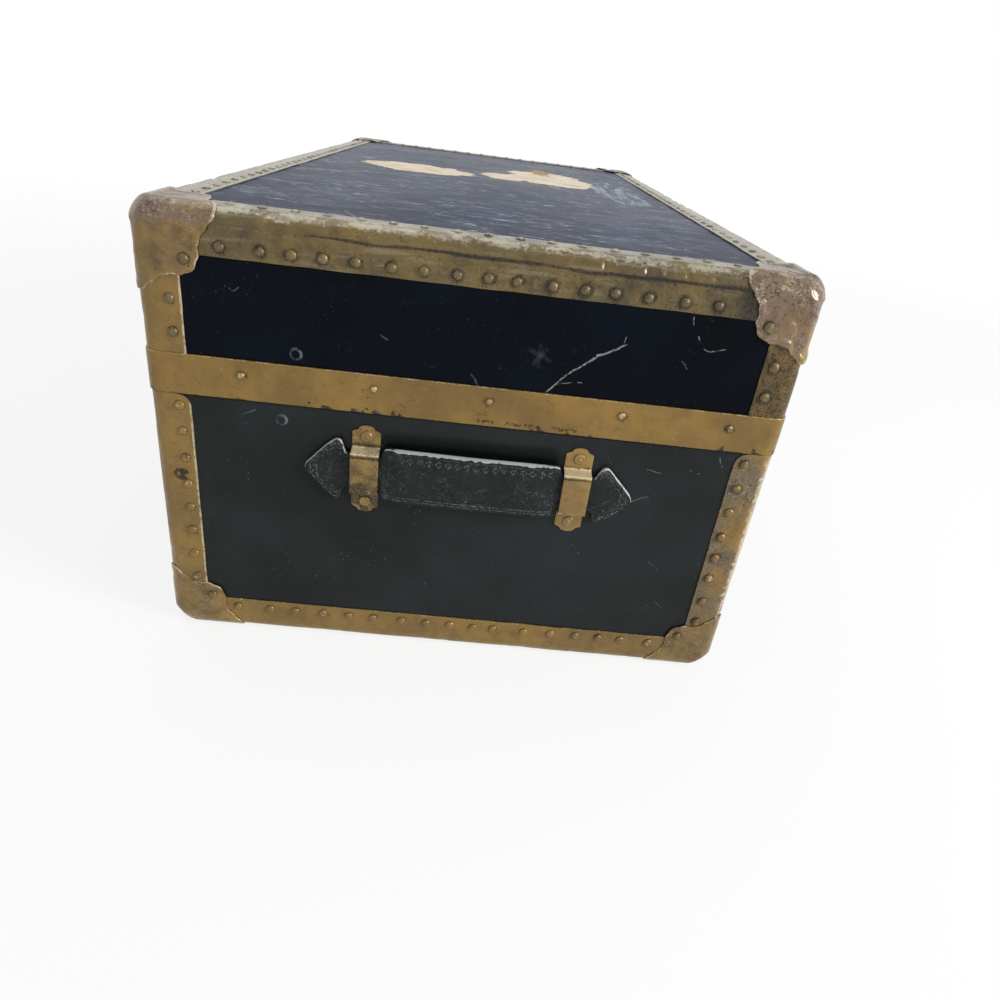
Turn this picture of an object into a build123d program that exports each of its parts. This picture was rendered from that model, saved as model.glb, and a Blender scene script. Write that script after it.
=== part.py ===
from build123d import *
import os

os.makedirs("parts", exist_ok=True)

# A plywood trunk covered in black enamelled sheet. Brass-painted steel bindings close its edges,
# pressed caps its corners, and a leather handle rides in two loops on each end.
# X runs along the trunk, -Y is the front with the lock, +Y the back with the hinges.
# The origin is on the floor, under the middle of the trunk.

# ---- driving dimensions, mm ----
LENGTH = 768.0          # over the edge bindings, along X
WIDTH = 410.0           # over the edge bindings, along Y
TALL = 299.0            # over the edge bindings, along Z
SEAM = 186.0            # top edge of the base
LID_GAP = 0.4           # parting gap between base and lid
EDGE_RADIUS = 10.0      # outer bend of the edge bindings
CORNER_BALL = 26.0      # the eight corners are rounder still: part of a ball of this radius
BALL_INSET = 20.8       # with its centre this far inside the three faces

SHEET = 1.0             # steel of bindings and caps
SKIN = 0.8              # enamelled covering sheet
BOARD = 6.0             # plywood
PAPER = 0.6             # lining paper

FLANGE = 27.0           # width of each leg of a binding
BEAD = 1.0              # how far the rolled top edge stands proud of its flange
BEAD_WIDTH = 12.0       # how far the roll reaches from the edge
BAND_HEIGHT = 26.2      # strip round the foot of the lid
BAND_PROUD = 0.8        # how far the strip stands over the bindings
SKIN_MARGIN = 12.0      # the covering stops this far from each edge, under the binding

CAP_REACH = 50.0        # a corner cap's reach along each edge
CAP_NAIL = 30.0         # its nail, measured from both edges

NAIL_INSET = 21.0       # nail rows, measured from the edge
NAIL_ROW_START = 52.0   # first nail of a row, measured from the corner
NAIL_RADIUS = 3.25
NAIL_HEIGHT = 1.5
NAIL_SHANK = 5.5
BAND_NAIL_RADIUS = 2.5
RIVET_RADIUS = 3.4

HANDLE_Y = 4.5          # the handles sit a little behind the middle
HANDLE_Z = 145.5
LOOP_SPACING = 141.0
LOOP_WIDTH = 18.4
LOOP_LENGTH = 64.0
LOOP_STEEL = 1.2
GRIP_LENGTH = 119.4
GRIP_HEIGHT = 39.0
HANDLE_LENGTH = 220.0

HINGE_X = 235.0         # hinges and side catches, from the middle
HARDWARE_PROUD = 213.4  # front and back hardware reach this far from the middle

# ---- levels and faces worked out from them ----
HALF_X = LENGTH / 2
HALF_Y = WIDTH / 2
BOTTOM = SHEET                      # the caps lift the bindings off the floor
TOP = BOTTOM + TALL
LID_FOOT = SEAM + LID_GAP
BAND_TOP = LID_FOOT + BAND_HEIGHT
BOARD_DEPTH = SHEET + SKIN          # outer face of the boards, inside the binding's face
INNER_DEPTH = BOARD_DEPTH + BOARD   # inner face of the boards
PAPER_DEPTH = INNER_DEPTH + PAPER

BOARD_X, BOARD_Y = HALF_X - BOARD_DEPTH, HALF_Y - BOARD_DEPTH
INNER_X, INNER_Y = HALF_X - INNER_DEPTH, HALF_Y - INNER_DEPTH
PAPER_X, PAPER_Y = HALF_X - PAPER_DEPTH, HALF_Y - PAPER_DEPTH
UNDERSIDE_Z, FLOOR_Z = BOTTOM + BOARD_DEPTH, BOTTOM + INNER_DEPTH
ROOF_Z, CEILING_Z = TOP - BOARD_DEPTH, TOP - INNER_DEPTH

CORNERS = {
    "front_left": (-1, -1),
    "front_right": (1, -1),
    "back_left": (-1, 1),
    "back_right": (1, 1),
}


def save(piece, name):
    """Label a finished sub-part and write it."""
    piece.part.label = name
    export_step(piece.part, f"parts/{name}.step")


def slab(low, high, mode=Mode.ADD):
    """Box between two opposite corners, in the sub-part being built."""
    centre = tuple((a + b) / 2 for a, b in zip(low, high))
    size = tuple(b - a for a, b in zip(low, high))
    with Locations(centre):
        Box(*size, mode=mode)


def corner_waste(side_x, side_y, up, depth):
    """What the ball-shaped rounding takes off one corner of a block, this far inside the faces."""
    side_z = 1 if up else -1
    face_z = TOP if up else BOTTOM
    ball = (side_x * (HALF_X - BALL_INSET), side_y * (HALF_Y - BALL_INSET), face_z - side_z * BALL_INSET)
    beyond = (side_x * (HALF_X + EDGE_RADIUS), side_y * (HALF_Y + EDGE_RADIUS), face_z + side_z * EDGE_RADIUS)
    low = tuple(min(a, b) for a, b in zip(ball, beyond))
    high = tuple(max(a, b) for a, b in zip(ball, beyond))
    with BuildPart() as waste:
        slab(low, high)
        with Locations(ball):
            Sphere(CORNER_BALL - depth, mode=Mode.SUBTRACT)
    return waste.part


def rounded_block(depth):
    """The whole trunk as one rounded block, this far inside the face of the bindings."""
    with BuildPart() as block:
        slab(
            (-HALF_X + depth, -HALF_Y + depth, BOTTOM + depth),
            (HALF_X - depth, HALF_Y - depth, TOP - depth),
        )
        fillet(block.edges(), EDGE_RADIUS - depth)
        for side_x, side_y in CORNERS.values():
            for up in (False, True):
                add(corner_waste(side_x, side_y, up, depth), mode=Mode.SUBTRACT)
    return block.part


def shell(outer_depth, inner_depth):
    """Thin rounded shell between two depths."""
    with BuildPart() as skin:
        add(rounded_block(outer_depth))
        add(rounded_block(inner_depth), mode=Mode.SUBTRACT)
    return skin.part


board_block = rounded_block(BOARD_DEPTH)
binding_shell = shell(0, SHEET)
bead_shell = shell(-BEAD, SHEET)
band_shell = shell(-BAND_PROUD, SHEET)
cap_shell = shell(-SHEET, 0)
cap_bead_shell = shell(-SHEET - BEAD, 0)


# ---- boards ----
def save_wall_boards(half, low_z, high_z):
    """Front and back run the full length; the two ends fit between them."""
    walls = {
        "front": ((-BOARD_X, -BOARD_Y, low_z), (BOARD_X, -INNER_Y, high_z)),
        "back": ((-BOARD_X, INNER_Y, low_z), (BOARD_X, BOARD_Y, high_z)),
        "left": ((-BOARD_X, -INNER_Y, low_z), (-INNER_X, INNER_Y, high_z)),
        "right": ((INNER_X, -INNER_Y, low_z), (BOARD_X, INNER_Y, high_z)),
    }
    for side, (low, high) in walls.items():
        with BuildPart() as wall:
            slab(low, high)
            add(board_block, mode=Mode.INTERSECT)
        save(wall, f"{half}_{side}_board")


save_wall_boards("base", FLOOR_Z, SEAM)
save_wall_boards("lid", LID_FOOT, CEILING_Z)

with BuildPart() as base_bottom_board:
    slab((-BOARD_X, -BOARD_Y, UNDERSIDE_Z), (BOARD_X, BOARD_Y, FLOOR_Z))
    add(board_block, mode=Mode.INTERSECT)
save(base_bottom_board, "base_bottom_board")

with BuildPart() as lid_top_board:
    slab((-BOARD_X, -BOARD_Y, CEILING_Z), (BOARD_X, BOARD_Y, ROOF_Z))
    add(board_block, mode=Mode.INTERSECT)
save(lid_top_board, "lid_top_board")


# ---- covering sheets, flat, with their edges under the bindings ----
def save_wall_skins(name, low_z, high_z):
    skin_x = HALF_X - SKIN_MARGIN
    skin_y = HALF_Y - SKIN_MARGIN
    with BuildPart() as skins:
        slab((-skin_x, -HALF_Y + SHEET, low_z), (skin_x, -BOARD_Y, high_z))
        slab((-skin_x, BOARD_Y, low_z), (skin_x, HALF_Y - SHEET, high_z))
        slab((-HALF_X + SHEET, -skin_y, low_z), (-BOARD_X, skin_y, high_z))
        slab((BOARD_X, -skin_y, low_z), (HALF_X - SHEET, skin_y, high_z))
    save(skins, name)


save_wall_skins("base_wall_skins", BOTTOM + SKIN_MARGIN, SEAM)
save_wall_skins("lid_wall_skins", LID_FOOT, TOP - SKIN_MARGIN)


def save_flat_skin(name, low_z):
    with BuildPart() as sheet:
        with Locations((0, 0, low_z + SKIN / 2)):
            Box(LENGTH - 2 * SKIN_MARGIN, WIDTH - 2 * SKIN_MARGIN, SKIN)
    save(sheet, name)


save_flat_skin("base_bottom_skin", BOTTOM + SHEET)
save_flat_skin("lid_top_skin", ROOF_Z)

# ---- paper linings, and the rim strips that guide the lid down ----
RIM_RISE = 10.0         # rim strips above the seam
RIM_DEPTH = 20.0        # and below it
RIM_STEEL = 0.8
RIM_CORNER_GAP = 1.0

with BuildPart() as base_lining:
    slab((-INNER_X, -INNER_Y, FLOOR_Z), (INNER_X, INNER_Y, SEAM))
    slab((-PAPER_X, -PAPER_Y, FLOOR_Z + PAPER), (PAPER_X, PAPER_Y, SEAM), mode=Mode.SUBTRACT)
save(base_lining, "base_lining")

LINING_FOOT = SEAM + RIM_RISE + 3
with BuildPart() as lid_lining:
    slab((-INNER_X, -INNER_Y, LINING_FOOT), (INNER_X, INNER_Y, CEILING_Z))
    slab((-PAPER_X, -PAPER_Y, LINING_FOOT), (PAPER_X, PAPER_Y, CEILING_Z - PAPER), mode=Mode.SUBTRACT)
save(lid_lining, "lid_lining")

with BuildPart() as base_rim_strips:
    low_z, high_z = SEAM - RIM_DEPTH, SEAM + RIM_RISE
    strip_x = PAPER_X - RIM_STEEL
    strip_y = PAPER_Y - RIM_STEEL
    end_y = strip_y - RIM_CORNER_GAP
    slab((-PAPER_X, -PAPER_Y, low_z), (PAPER_X, -strip_y, high_z))
    slab((-PAPER_X, strip_y, low_z), (PAPER_X, PAPER_Y, high_z))
    slab((-PAPER_X, -end_y, low_z), (-strip_x, end_y, high_z))
    slab((strip_x, -end_y, low_z), (PAPER_X, end_y, high_z))
save(base_rim_strips, "base_rim_strips")

# ---- edge bindings ----
BINDING_END = 30.0      # bindings stop this far from a corner, under its cap


def save_corner_bindings(name, low_z, high_z):
    """Four upright angle strips, one on each corner."""
    with BuildPart() as strips:
        for side_x, side_y in CORNERS.values():
            with Locations((side_x * (HALF_X - FLANGE / 2), side_y * (HALF_Y - FLANGE / 2), (low_z + high_z) / 2)):
                Box(FLANGE, FLANGE, high_z - low_z)
        add(binding_shell, mode=Mode.INTERSECT)
    save(strips, name)


save_corner_bindings("base_corner_bindings", BOTTOM + BINDING_END, SEAM)
save_corner_bindings("lid_corner_bindings", BAND_TOP, TOP - BINDING_END)


def edge_box(side, at_top, width, end):
    """Box along one horizontal edge: the edge's side, its leg width and its stop at the corners."""
    low_z = TOP - width if at_top else BOTTOM - BEAD
    high_z = TOP + BEAD if at_top else BOTTOM + width
    run_x, run_y = HALF_X - end, HALF_Y - end
    reach_x, reach_y = HALF_X + BEAD, HALF_Y + BEAD
    boxes = {
        "front": ((-run_x, -reach_y, low_z), (run_x, -HALF_Y + width, high_z)),
        "back": ((-run_x, HALF_Y - width, low_z), (run_x, reach_y, high_z)),
        "left": ((-reach_x, -run_y, low_z), (-HALF_X + width, run_y, high_z)),
        "right": ((HALF_X - width, -run_y, low_z), (reach_x, run_y, high_z)),
    }
    slab(*boxes[side])


for side in ("front", "back", "left", "right"):
    with BuildPart() as bottom_binding:
        edge_box(side, False, FLANGE, BINDING_END)
        add(binding_shell, mode=Mode.INTERSECT)
    save(bottom_binding, f"base_{side}_binding")

    with BuildPart() as flat_legs:
        edge_box(side, True, FLANGE, BINDING_END)
        add(binding_shell, mode=Mode.INTERSECT)
    with BuildPart() as top_binding:
        edge_box(side, True, BEAD_WIDTH, CAP_REACH)
        add(bead_shell, mode=Mode.INTERSECT)
        add(flat_legs.part)
    save(top_binding, f"lid_{side}_binding")

# The band is one strip bent round the foot of the lid; its ends meet at the back.
BAND_JOINT = 1.0
with BuildPart() as lid_band:
    reach_x, reach_y = HALF_X + BAND_PROUD, HALF_Y + BAND_PROUD
    slab((-reach_x, -reach_y, LID_FOOT), (reach_x, reach_y, BAND_TOP))
    add(band_shell, mode=Mode.INTERSECT)
    slab((-BAND_JOINT / 2, 0, LID_FOOT), (BAND_JOINT / 2, reach_y, BAND_TOP), mode=Mode.SUBTRACT)
save(lid_band, "lid_band")


# ---- corner caps ----
def cap_face(corner, inward_a, inward_b):
    """One lobed leaf of a cap, as a prism through the face that the two inward directions span."""
    lobe = 0.74 * CAP_REACH
    shoulder = 0.44 * CAP_REACH
    hip = 0.86 * CAP_REACH
    leaf = Plane(origin=corner, x_dir=inward_a, z_dir=Vector(*inward_a).cross(Vector(*inward_b)))
    with BuildSketch(leaf) as outline:
        with BuildLine():
            Polyline(
                (hip, shoulder),
                (CAP_REACH, EDGE_RADIUS),
                (CAP_REACH, -2 * SHEET - BEAD),
                (-2 * SHEET - BEAD, -2 * SHEET - BEAD),
                (-2 * SHEET - BEAD, CAP_REACH),
                (EDGE_RADIUS, CAP_REACH),
                (shoulder, hip),
            )
            ThreePointArc((shoulder, hip), (lobe, lobe), (hip, shoulder))
        make_face()
    extrude(outline.sketch, amount=EDGE_RADIUS, both=True)


def cap_outline(side_x, side_y, up):
    """The three leaves of one cap; up is 1 for a lid corner and -1 for a base corner."""
    corner = (side_x * HALF_X, side_y * HALF_Y, TOP if up > 0 else BOTTOM)
    along_x, along_y, along_z = (-side_x, 0, 0), (0, -side_y, 0), (0, 0, -up)
    cap_face(corner, along_x, along_y)
    cap_face(corner, along_x, along_z)
    cap_face(corner, along_y, along_z)


for place, (side_x, side_y) in CORNERS.items():
    with BuildPart() as base_cap:
        cap_outline(side_x, side_y, -1)
        add(cap_shell, mode=Mode.INTERSECT)
    save(base_cap, f"base_corner_cap_{place}")

    with BuildPart() as cap_bead:
        run_x = sorted((side_x * (HALF_X - CAP_REACH), side_x * (HALF_X + 3 * SHEET)))
        run_y = sorted((side_y * (HALF_Y - CAP_REACH), side_y * (HALF_Y + 3 * SHEET)))
        edge_x = sorted((side_x * (HALF_X - BEAD_WIDTH), side_x * (HALF_X + 3 * SHEET)))
        edge_y = sorted((side_y * (HALF_Y - BEAD_WIDTH), side_y * (HALF_Y + 3 * SHEET)))
        low_z, high_z = TOP - BEAD_WIDTH, TOP + 3 * SHEET
        slab((run_x[0], edge_y[0], low_z), (run_x[1], edge_y[1], high_z))
        slab((edge_x[0], run_y[0], low_z), (edge_x[1], run_y[1], high_z))
        add(cap_bead_shell, mode=Mode.INTERSECT)
    with BuildPart() as lid_cap:
        cap_outline(side_x, side_y, 1)
        add(cap_shell, mode=Mode.INTERSECT)
        add(cap_bead.part)
    save(lid_cap, f"lid_corner_cap_{place}")


# ---- nails and rivets ----
def fastener(head_radius, head_height, shank_radius, shank_length):
    """Faceted dome of a head on the plane z = 0 with its shank below."""
    with BuildPart() as nail:
        with BuildSketch(Plane.XZ):
            with BuildLine():
                Polyline(
                    (0, -shank_length),
                    (shank_radius, -shank_length),
                    (shank_radius, 0),
                    (head_radius, 0),
                    (0.75 * head_radius, 0.65 * head_height),
                    (0.35 * head_radius, head_height),
                    (0, head_height),
                    close=True,
                )
            make_face()
        revolve(axis=Axis.Z)
    return nail.part


def flat_nail(head_radius, head_height, shank_radius, shank_length):
    """Flat head on the plane z = 0 with its shank below."""
    with BuildPart() as nail:
        Cylinder(head_radius, head_height, align=(Align.CENTER, Align.CENTER, Align.MIN))
        Cylinder(shank_radius, shank_length, align=(Align.CENTER, Align.CENTER, Align.MAX))
    return nail.part


def spread(half_span, count):
    """Evenly spaced positions from one end of a row to the other."""
    return [-half_span + 2 * half_span * i / (count - 1) for i in range(count)]


def on_face(normal, x, y, z):
    """Where a fastener's head sits: its point and the outward normal there."""
    return Plane(origin=(x, y, z), z_dir=normal).location


NAIL_SHANK_RADIUS = 0.8
LONG_ROW = 35           # nails in a row along a long edge
SHORT_ROW = 17          # nails in a row across an end
END_SPAN = HALF_Y - NAIL_ROW_START
LONG_SPAN = HALF_X - NAIL_ROW_START


LONG_SPOTS = spread(LONG_SPAN, LONG_ROW)
SHORT_SPOTS = spread(END_SPAN, SHORT_ROW)


def wall_row(z, long_spots, short_spots, proud=0.0):
    """One level of nails on all four walls."""
    spots = []
    for side in (-1, 1):
        for x in long_spots:
            spots.append(on_face((0, side, 0), x, side * (HALF_Y + proud), z))
        for y in short_spots:
            spots.append(on_face((side, 0, 0), side * (HALF_X + proud), y, z))
    return spots


def upright_rows(levels):
    """Nails down both legs of the four corner bindings."""
    spots = []
    for side_x, side_y in CORNERS.values():
        for z in levels:
            spots.append(on_face((0, side_y, 0), side_x * (HALF_X - NAIL_INSET), side_y * HALF_Y, z))
            spots.append(on_face((side_x, 0, 0), side_x * HALF_X, side_y * (HALF_Y - NAIL_INSET), z))
    return spots


def cap_spots(z_face, up):
    """One nail in each upright leaf of the four caps at this level."""
    spots = []
    z = z_face - up * CAP_NAIL
    for side_x, side_y in CORNERS.values():
        spots.append(on_face((0, side_y, 0), side_x * (HALF_X - CAP_NAIL), side_y * (HALF_Y + SHEET), z))
        spots.append(on_face((side_x, 0, 0), side_x * (HALF_X + SHEET), side_y * (HALF_Y - CAP_NAIL), z))
    return spots


def flat_rows(z, up):
    """Nails in the horizontal legs of the bindings, on top or underneath."""
    spots = []
    for side in (-1, 1):
        for x in LONG_SPOTS:
            spots.append(on_face((0, 0, up), x, side * (HALF_Y - NAIL_INSET), z))
        for y in SHORT_SPOTS:
            spots.append(on_face((0, 0, up), side * (HALF_X - NAIL_INSET), y, z))
    return spots


binding_nail = fastener(NAIL_RADIUS, NAIL_HEIGHT, NAIL_SHANK_RADIUS, NAIL_SHANK)
band_nail = fastener(BAND_NAIL_RADIUS, NAIL_HEIGHT, NAIL_SHANK_RADIUS, NAIL_SHANK)
underside_nail = flat_nail(NAIL_RADIUS, 0.6, NAIL_SHANK_RADIUS, NAIL_SHANK)

base_upright_levels = [47.5 + 19.0 * step for step in range(8)]
lid_upright_levels = [226.5, 245.5]

with BuildPart() as base_binding_nails:
    with Locations(
        *wall_row(BOTTOM + NAIL_INSET, LONG_SPOTS, SHORT_SPOTS),
        *upright_rows(base_upright_levels),
        *cap_spots(BOTTOM, -1),
    ):
        add(binding_nail)
save(base_binding_nails, "base_binding_nails")

with BuildPart() as underside_nails:
    with Locations(*flat_rows(BOTTOM, -1)):
        add(underside_nail)
save(underside_nails, "underside_nails")

with BuildPart() as lid_binding_nails:
    with Locations(
        *wall_row(TOP - NAIL_INSET, LONG_SPOTS, SHORT_SPOTS),
        *upright_rows(lid_upright_levels),
        *cap_spots(TOP, 1),
        *flat_rows(TOP, 1),
    ):
        add(binding_nail)
save(lid_binding_nails, "lid_binding_nails")

# along the band they keep clear of the hasp, the catches and the hinges
BAND_LONG_SPOTS = [-332, -285, -185, -115, -45, 45, 115, 185, 285, 332]
BAND_SHORT_SPOTS = spread(END_SPAN, 5)
with BuildPart() as lid_band_nails:
    with Locations(*wall_row(BAND_TOP - 9.5, BAND_LONG_SPOTS, BAND_SHORT_SPOTS, BAND_PROUD)):
        add(band_nail)
save(lid_band_nails, "lid_band_nails")

# ---- front and back hardware: faces it lies on ----
BAND_FACE = HALF_Y + BAND_PROUD         # plates on the lid lie on the band
SKIN_FACE = HALF_Y - SHEET              # plates on the base lie on the covering
LID_PLATE = 1.4
BASE_PLATE = 1.2
FLAP_KNUCKLE = 3.0                      # knuckle radius of the hasp and the catches
FLAP_AXIS_Y = -(HARDWARE_PROUD - FLAP_KNUCKLE)
FLAP_AXIS_Z = SEAM + 4.5
FLAP_STEEL = 1.8
FLAP_BACK_Y = FLAP_AXIS_Y + 0.8         # back face of a hanging flap
FLAP_FRONT_Y = FLAP_BACK_Y - FLAP_STEEL
FLAP_PIN = 1.3
RUNNING = 0.05                          # radial clearance of a pin in its bore
KNUCKLE_GAP = 0.4
LATCH_X = (0.0, -HINGE_X, HINGE_X)      # hasp in the middle, one catch on each side


def rod(radius, centre, length, mode=Mode.ADD):
    """Cylinder along X."""
    with Locations(Location(centre, (0, 90, 0))):
        Cylinder(radius, length, mode=mode)


def flap_bracket(x, width, knuckle_width):
    """Plate on the band with two knuckles at its foot, for a hanging flap."""
    axis = (x, FLAP_AXIS_Y, FLAP_AXIS_Z)
    plate_front = -BAND_FACE - LID_PLATE
    slab((x - width / 2, plate_front, SEAM + 2), (x + width / 2, -BAND_FACE, BAND_TOP - 2))
    for side in (-1, 1):
        ear_x = x + side * (width - knuckle_width) / 2
        rod(FLAP_KNUCKLE, (ear_x, FLAP_AXIS_Y, FLAP_AXIS_Z), knuckle_width)
        slab(
            (ear_x - knuckle_width / 2, FLAP_AXIS_Y, FLAP_AXIS_Z - 2),
            (ear_x + knuckle_width / 2, plate_front, FLAP_AXIS_Z + FLAP_KNUCKLE),
        )
    rod(FLAP_PIN + RUNNING, axis, width + 1, mode=Mode.SUBTRACT)


def hanging_flap(x, width, knuckle_width, foot_z):
    """Flap that hangs from its knuckle, down to foot_z."""
    rod(FLAP_KNUCKLE, (x, FLAP_AXIS_Y, FLAP_AXIS_Z), knuckle_width)
    slab((x - knuckle_width / 2, FLAP_FRONT_Y, FLAP_AXIS_Z - 9), (x + knuckle_width / 2, FLAP_BACK_Y, FLAP_AXIS_Z))
    slab((x - width / 2, FLAP_FRONT_Y, foot_z), (x + width / 2, FLAP_BACK_Y, FLAP_AXIS_Z - 6))


HASP_WIDTH = 36.0
HASP_PLATE_WIDTH = 52.0
HASP_KNUCKLE = 28.0
HASP_FOOT = 149.0
CATCH_WIDTH = 22.0
CATCH_PLATE_WIDTH = 36.0
CATCH_KNUCKLE = 18.0
CATCH_FOOT = 152.0

with BuildPart() as hasp_plate:
    flap_bracket(0, HASP_PLATE_WIDTH, (HASP_PLATE_WIDTH - HASP_KNUCKLE) / 2 - KNUCKLE_GAP)
save(hasp_plate, "hasp_plate")

with BuildPart() as catch_lid_plates:
    for x in LATCH_X[1:]:
        flap_bracket(x, CATCH_PLATE_WIDTH, (CATCH_PLATE_WIDTH - CATCH_KNUCKLE) / 2 - KNUCKLE_GAP)
save(catch_lid_plates, "catch_lid_plates")

with BuildPart() as flap_pins:
    for x, width in zip(LATCH_X, (HASP_PLATE_WIDTH, CATCH_PLATE_WIDTH, CATCH_PLATE_WIDTH)):
        rod(FLAP_PIN, (x, FLAP_AXIS_Y, FLAP_AXIS_Z), width + 1)
        for side in (-1, 1):
            rod(FLAP_PIN + 0.8, (x + side * (width / 2 + 0.6), FLAP_AXIS_Y, FLAP_AXIS_Z), 0.8)
save(flap_pins, "flap_pins")

# ---- lock: a case on the base, its turning cylinder, and the hasp whose staple drops in ----
CASE_DEPTH = 3.8
CASE_FRONT_Y = -(SKIN_FACE + BASE_PLATE + CASE_DEPTH)
PLATE_FRONT_Y = -(SKIN_FACE + BASE_PLATE)
CASE_LOW, CASE_HIGH = 131.0, 177.0
CYLINDER_Z = 140.5
CYLINDER_RADIUS = 5.5
CYLINDER_FLANGE = 6.5
STAPLE_LOW, STAPLE_HIGH = 153.5, 163.5
SLOT_HALF_WIDTH = 8.0

with BuildPart() as lock_case:
    with BuildSketch(Plane.XZ.offset(SKIN_FACE)):
        with Locations((0, (CASE_LOW + CASE_HIGH) / 2 - 1)):
            RectangleRounded(64, CASE_HIGH - CASE_LOW + 14, 8)
    extrude(amount=BASE_PLATE)
    with BuildSketch(Plane.XZ.offset(SKIN_FACE + BASE_PLATE)):
        with Locations((0, (CASE_LOW + CASE_HIGH) / 2)):
            RectangleRounded(48, CASE_HIGH - CASE_LOW, 5)
    extrude(amount=CASE_DEPTH)
    slab(
        (-SLOT_HALF_WIDTH, CASE_FRONT_Y, STAPLE_LOW - 2),
        (SLOT_HALF_WIDTH, PLATE_FRONT_Y, CASE_HIGH),
        mode=Mode.SUBTRACT,
    )
    with BuildSketch(Plane.XZ.offset(SKIN_FACE + BASE_PLATE)):
        with Locations((0, CYLINDER_Z)):
            Circle(CYLINDER_RADIUS + RUNNING)
    extrude(amount=CASE_DEPTH, mode=Mode.SUBTRACT)
    with BuildSketch(Plane.XZ.offset(SKIN_FACE + BASE_PLATE)):
        with Locations((0, CYLINDER_Z)):
            Circle(CYLINDER_FLANGE + 0.3)
    extrude(amount=1.4, mode=Mode.SUBTRACT)
save(lock_case, "lock_case")

with BuildPart() as lock_cylinder:
    with BuildSketch(Plane.XZ.offset(SKIN_FACE + BASE_PLATE + 0.2)):
        with Locations((0, CYLINDER_Z)):
            Circle(CYLINDER_FLANGE)
    extrude(amount=1.0)
    with BuildSketch(Plane.XZ.offset(SKIN_FACE + BASE_PLATE + 1.2)):
        with Locations((0, CYLINDER_Z)):
            Circle(CYLINDER_RADIUS)
    extrude(amount=CASE_DEPTH - 0.4)
    slab((-0.8, CASE_FRONT_Y - 2, CYLINDER_Z - 3.2), (0.8, CASE_FRONT_Y + 1.2, CYLINDER_Z + 3.2), mode=Mode.SUBTRACT)
save(lock_cylinder, "lock_cylinder")

with BuildPart() as hasp:
    hanging_flap(0, HASP_WIDTH, HASP_KNUCKLE - KNUCKLE_GAP, HASP_FOOT)
    slab((-5, FLAP_BACK_Y, STAPLE_LOW), (5, PLATE_FRONT_Y - 0.6, STAPLE_HIGH))
    rod(FLAP_PIN + RUNNING, (0, FLAP_AXIS_Y, FLAP_AXIS_Z), HASP_KNUCKLE, mode=Mode.SUBTRACT)
    fillet(hasp.edges().filter_by(Axis.Y).group_by(Axis.Z)[0], 8)
save(hasp, "hasp")

# ---- side catches: a strap hangs between two cheeks on the base ----
CHEEK_LOW, CHEEK_HIGH = 153.0, 179.0
CHEEK_INNER = CATCH_WIDTH / 2 + 0.6
CHEEK_OUTER = CHEEK_INNER + 3.0
with BuildPart() as catch_base_plates:
    for x in LATCH_X[1:]:
        slab((x - 19, PLATE_FRONT_Y, 143), (x + 19, -SKIN_FACE, 183))
        for side in (-1, 1):
            edges = sorted((x + side * CHEEK_INNER, x + side * CHEEK_OUTER))
            slab((edges[0], FLAP_FRONT_Y + 0.6, CHEEK_LOW), (edges[1], PLATE_FRONT_Y, CHEEK_HIGH))
save(catch_base_plates, "catch_base_plates")

for side, x in zip(("left", "right"), LATCH_X[1:]):
    with BuildPart() as strap:
        hanging_flap(x, CATCH_WIDTH, CATCH_KNUCKLE - KNUCKLE_GAP, CATCH_FOOT)
        slab((x - 6, FLAP_BACK_Y, 160), (x + 6, PLATE_FRONT_Y - 0.6, 168))
        rod(FLAP_PIN + RUNNING, (x, FLAP_AXIS_Y, FLAP_AXIS_Z), CATCH_KNUCKLE, mode=Mode.SUBTRACT)
        rod(1.6, (x, FLAP_AXIS_Y - 0.4, CATCH_FOOT), CATCH_WIDTH)
    save(strap, f"catch_strap_{side}")

# ---- hinges on the back ----
HINGE_KNUCKLE = 3.4
HINGE_AXIS_Y = HARDWARE_PROUD - HINGE_KNUCKLE
HINGE_AXIS_Z = SEAM + LID_GAP / 2
HINGE_WIDTH = 60.0
HINGE_PIN = 2.0
THIRD = HINGE_WIDTH / 3

with BuildPart() as hinge_lid_leaves:
    for x in (-HINGE_X, HINGE_X):
        half_knuckle = THIRD / 2 - KNUCKLE_GAP / 2
        slab(
            (x - HINGE_WIDTH / 2, BAND_FACE, HINGE_AXIS_Z + 4.8),
            (x + HINGE_WIDTH / 2, BAND_FACE + LID_PLATE, BAND_TOP - 1),
        )
        slab(
            (x - half_knuckle, BAND_FACE, HINGE_AXIS_Z + 1.3),
            (x + half_knuckle, HINGE_AXIS_Y, HINGE_AXIS_Z + 5.8),
        )
        rod(HINGE_KNUCKLE, (x, HINGE_AXIS_Y, HINGE_AXIS_Z), 2 * half_knuckle)
        rod(HINGE_PIN + RUNNING, (x, HINGE_AXIS_Y, HINGE_AXIS_Z), THIRD, mode=Mode.SUBTRACT)
save(hinge_lid_leaves, "hinge_lid_leaves")

with BuildPart() as hinge_base_leaves:
    for x in (-HINGE_X, HINGE_X):
        slab((x - HINGE_WIDTH / 2, SKIN_FACE, 148), (x + HINGE_WIDTH / 2, SKIN_FACE + LID_PLATE, 182))
        for side in (-1, 1):
            edges = sorted((x + side * (THIRD / 2 + KNUCKLE_GAP / 2), x + side * HINGE_WIDTH / 2))
            slab((edges[0], SKIN_FACE, 178), (edges[1], HINGE_AXIS_Y, HINGE_AXIS_Z - 1.2))
            rod(
                HINGE_KNUCKLE,
                ((edges[0] + edges[1]) / 2, HINGE_AXIS_Y, HINGE_AXIS_Z),
                edges[1] - edges[0],
            )
        rod(HINGE_PIN + RUNNING, (x, HINGE_AXIS_Y, HINGE_AXIS_Z), HINGE_WIDTH + 1, mode=Mode.SUBTRACT)
save(hinge_base_leaves, "hinge_base_leaves")

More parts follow.
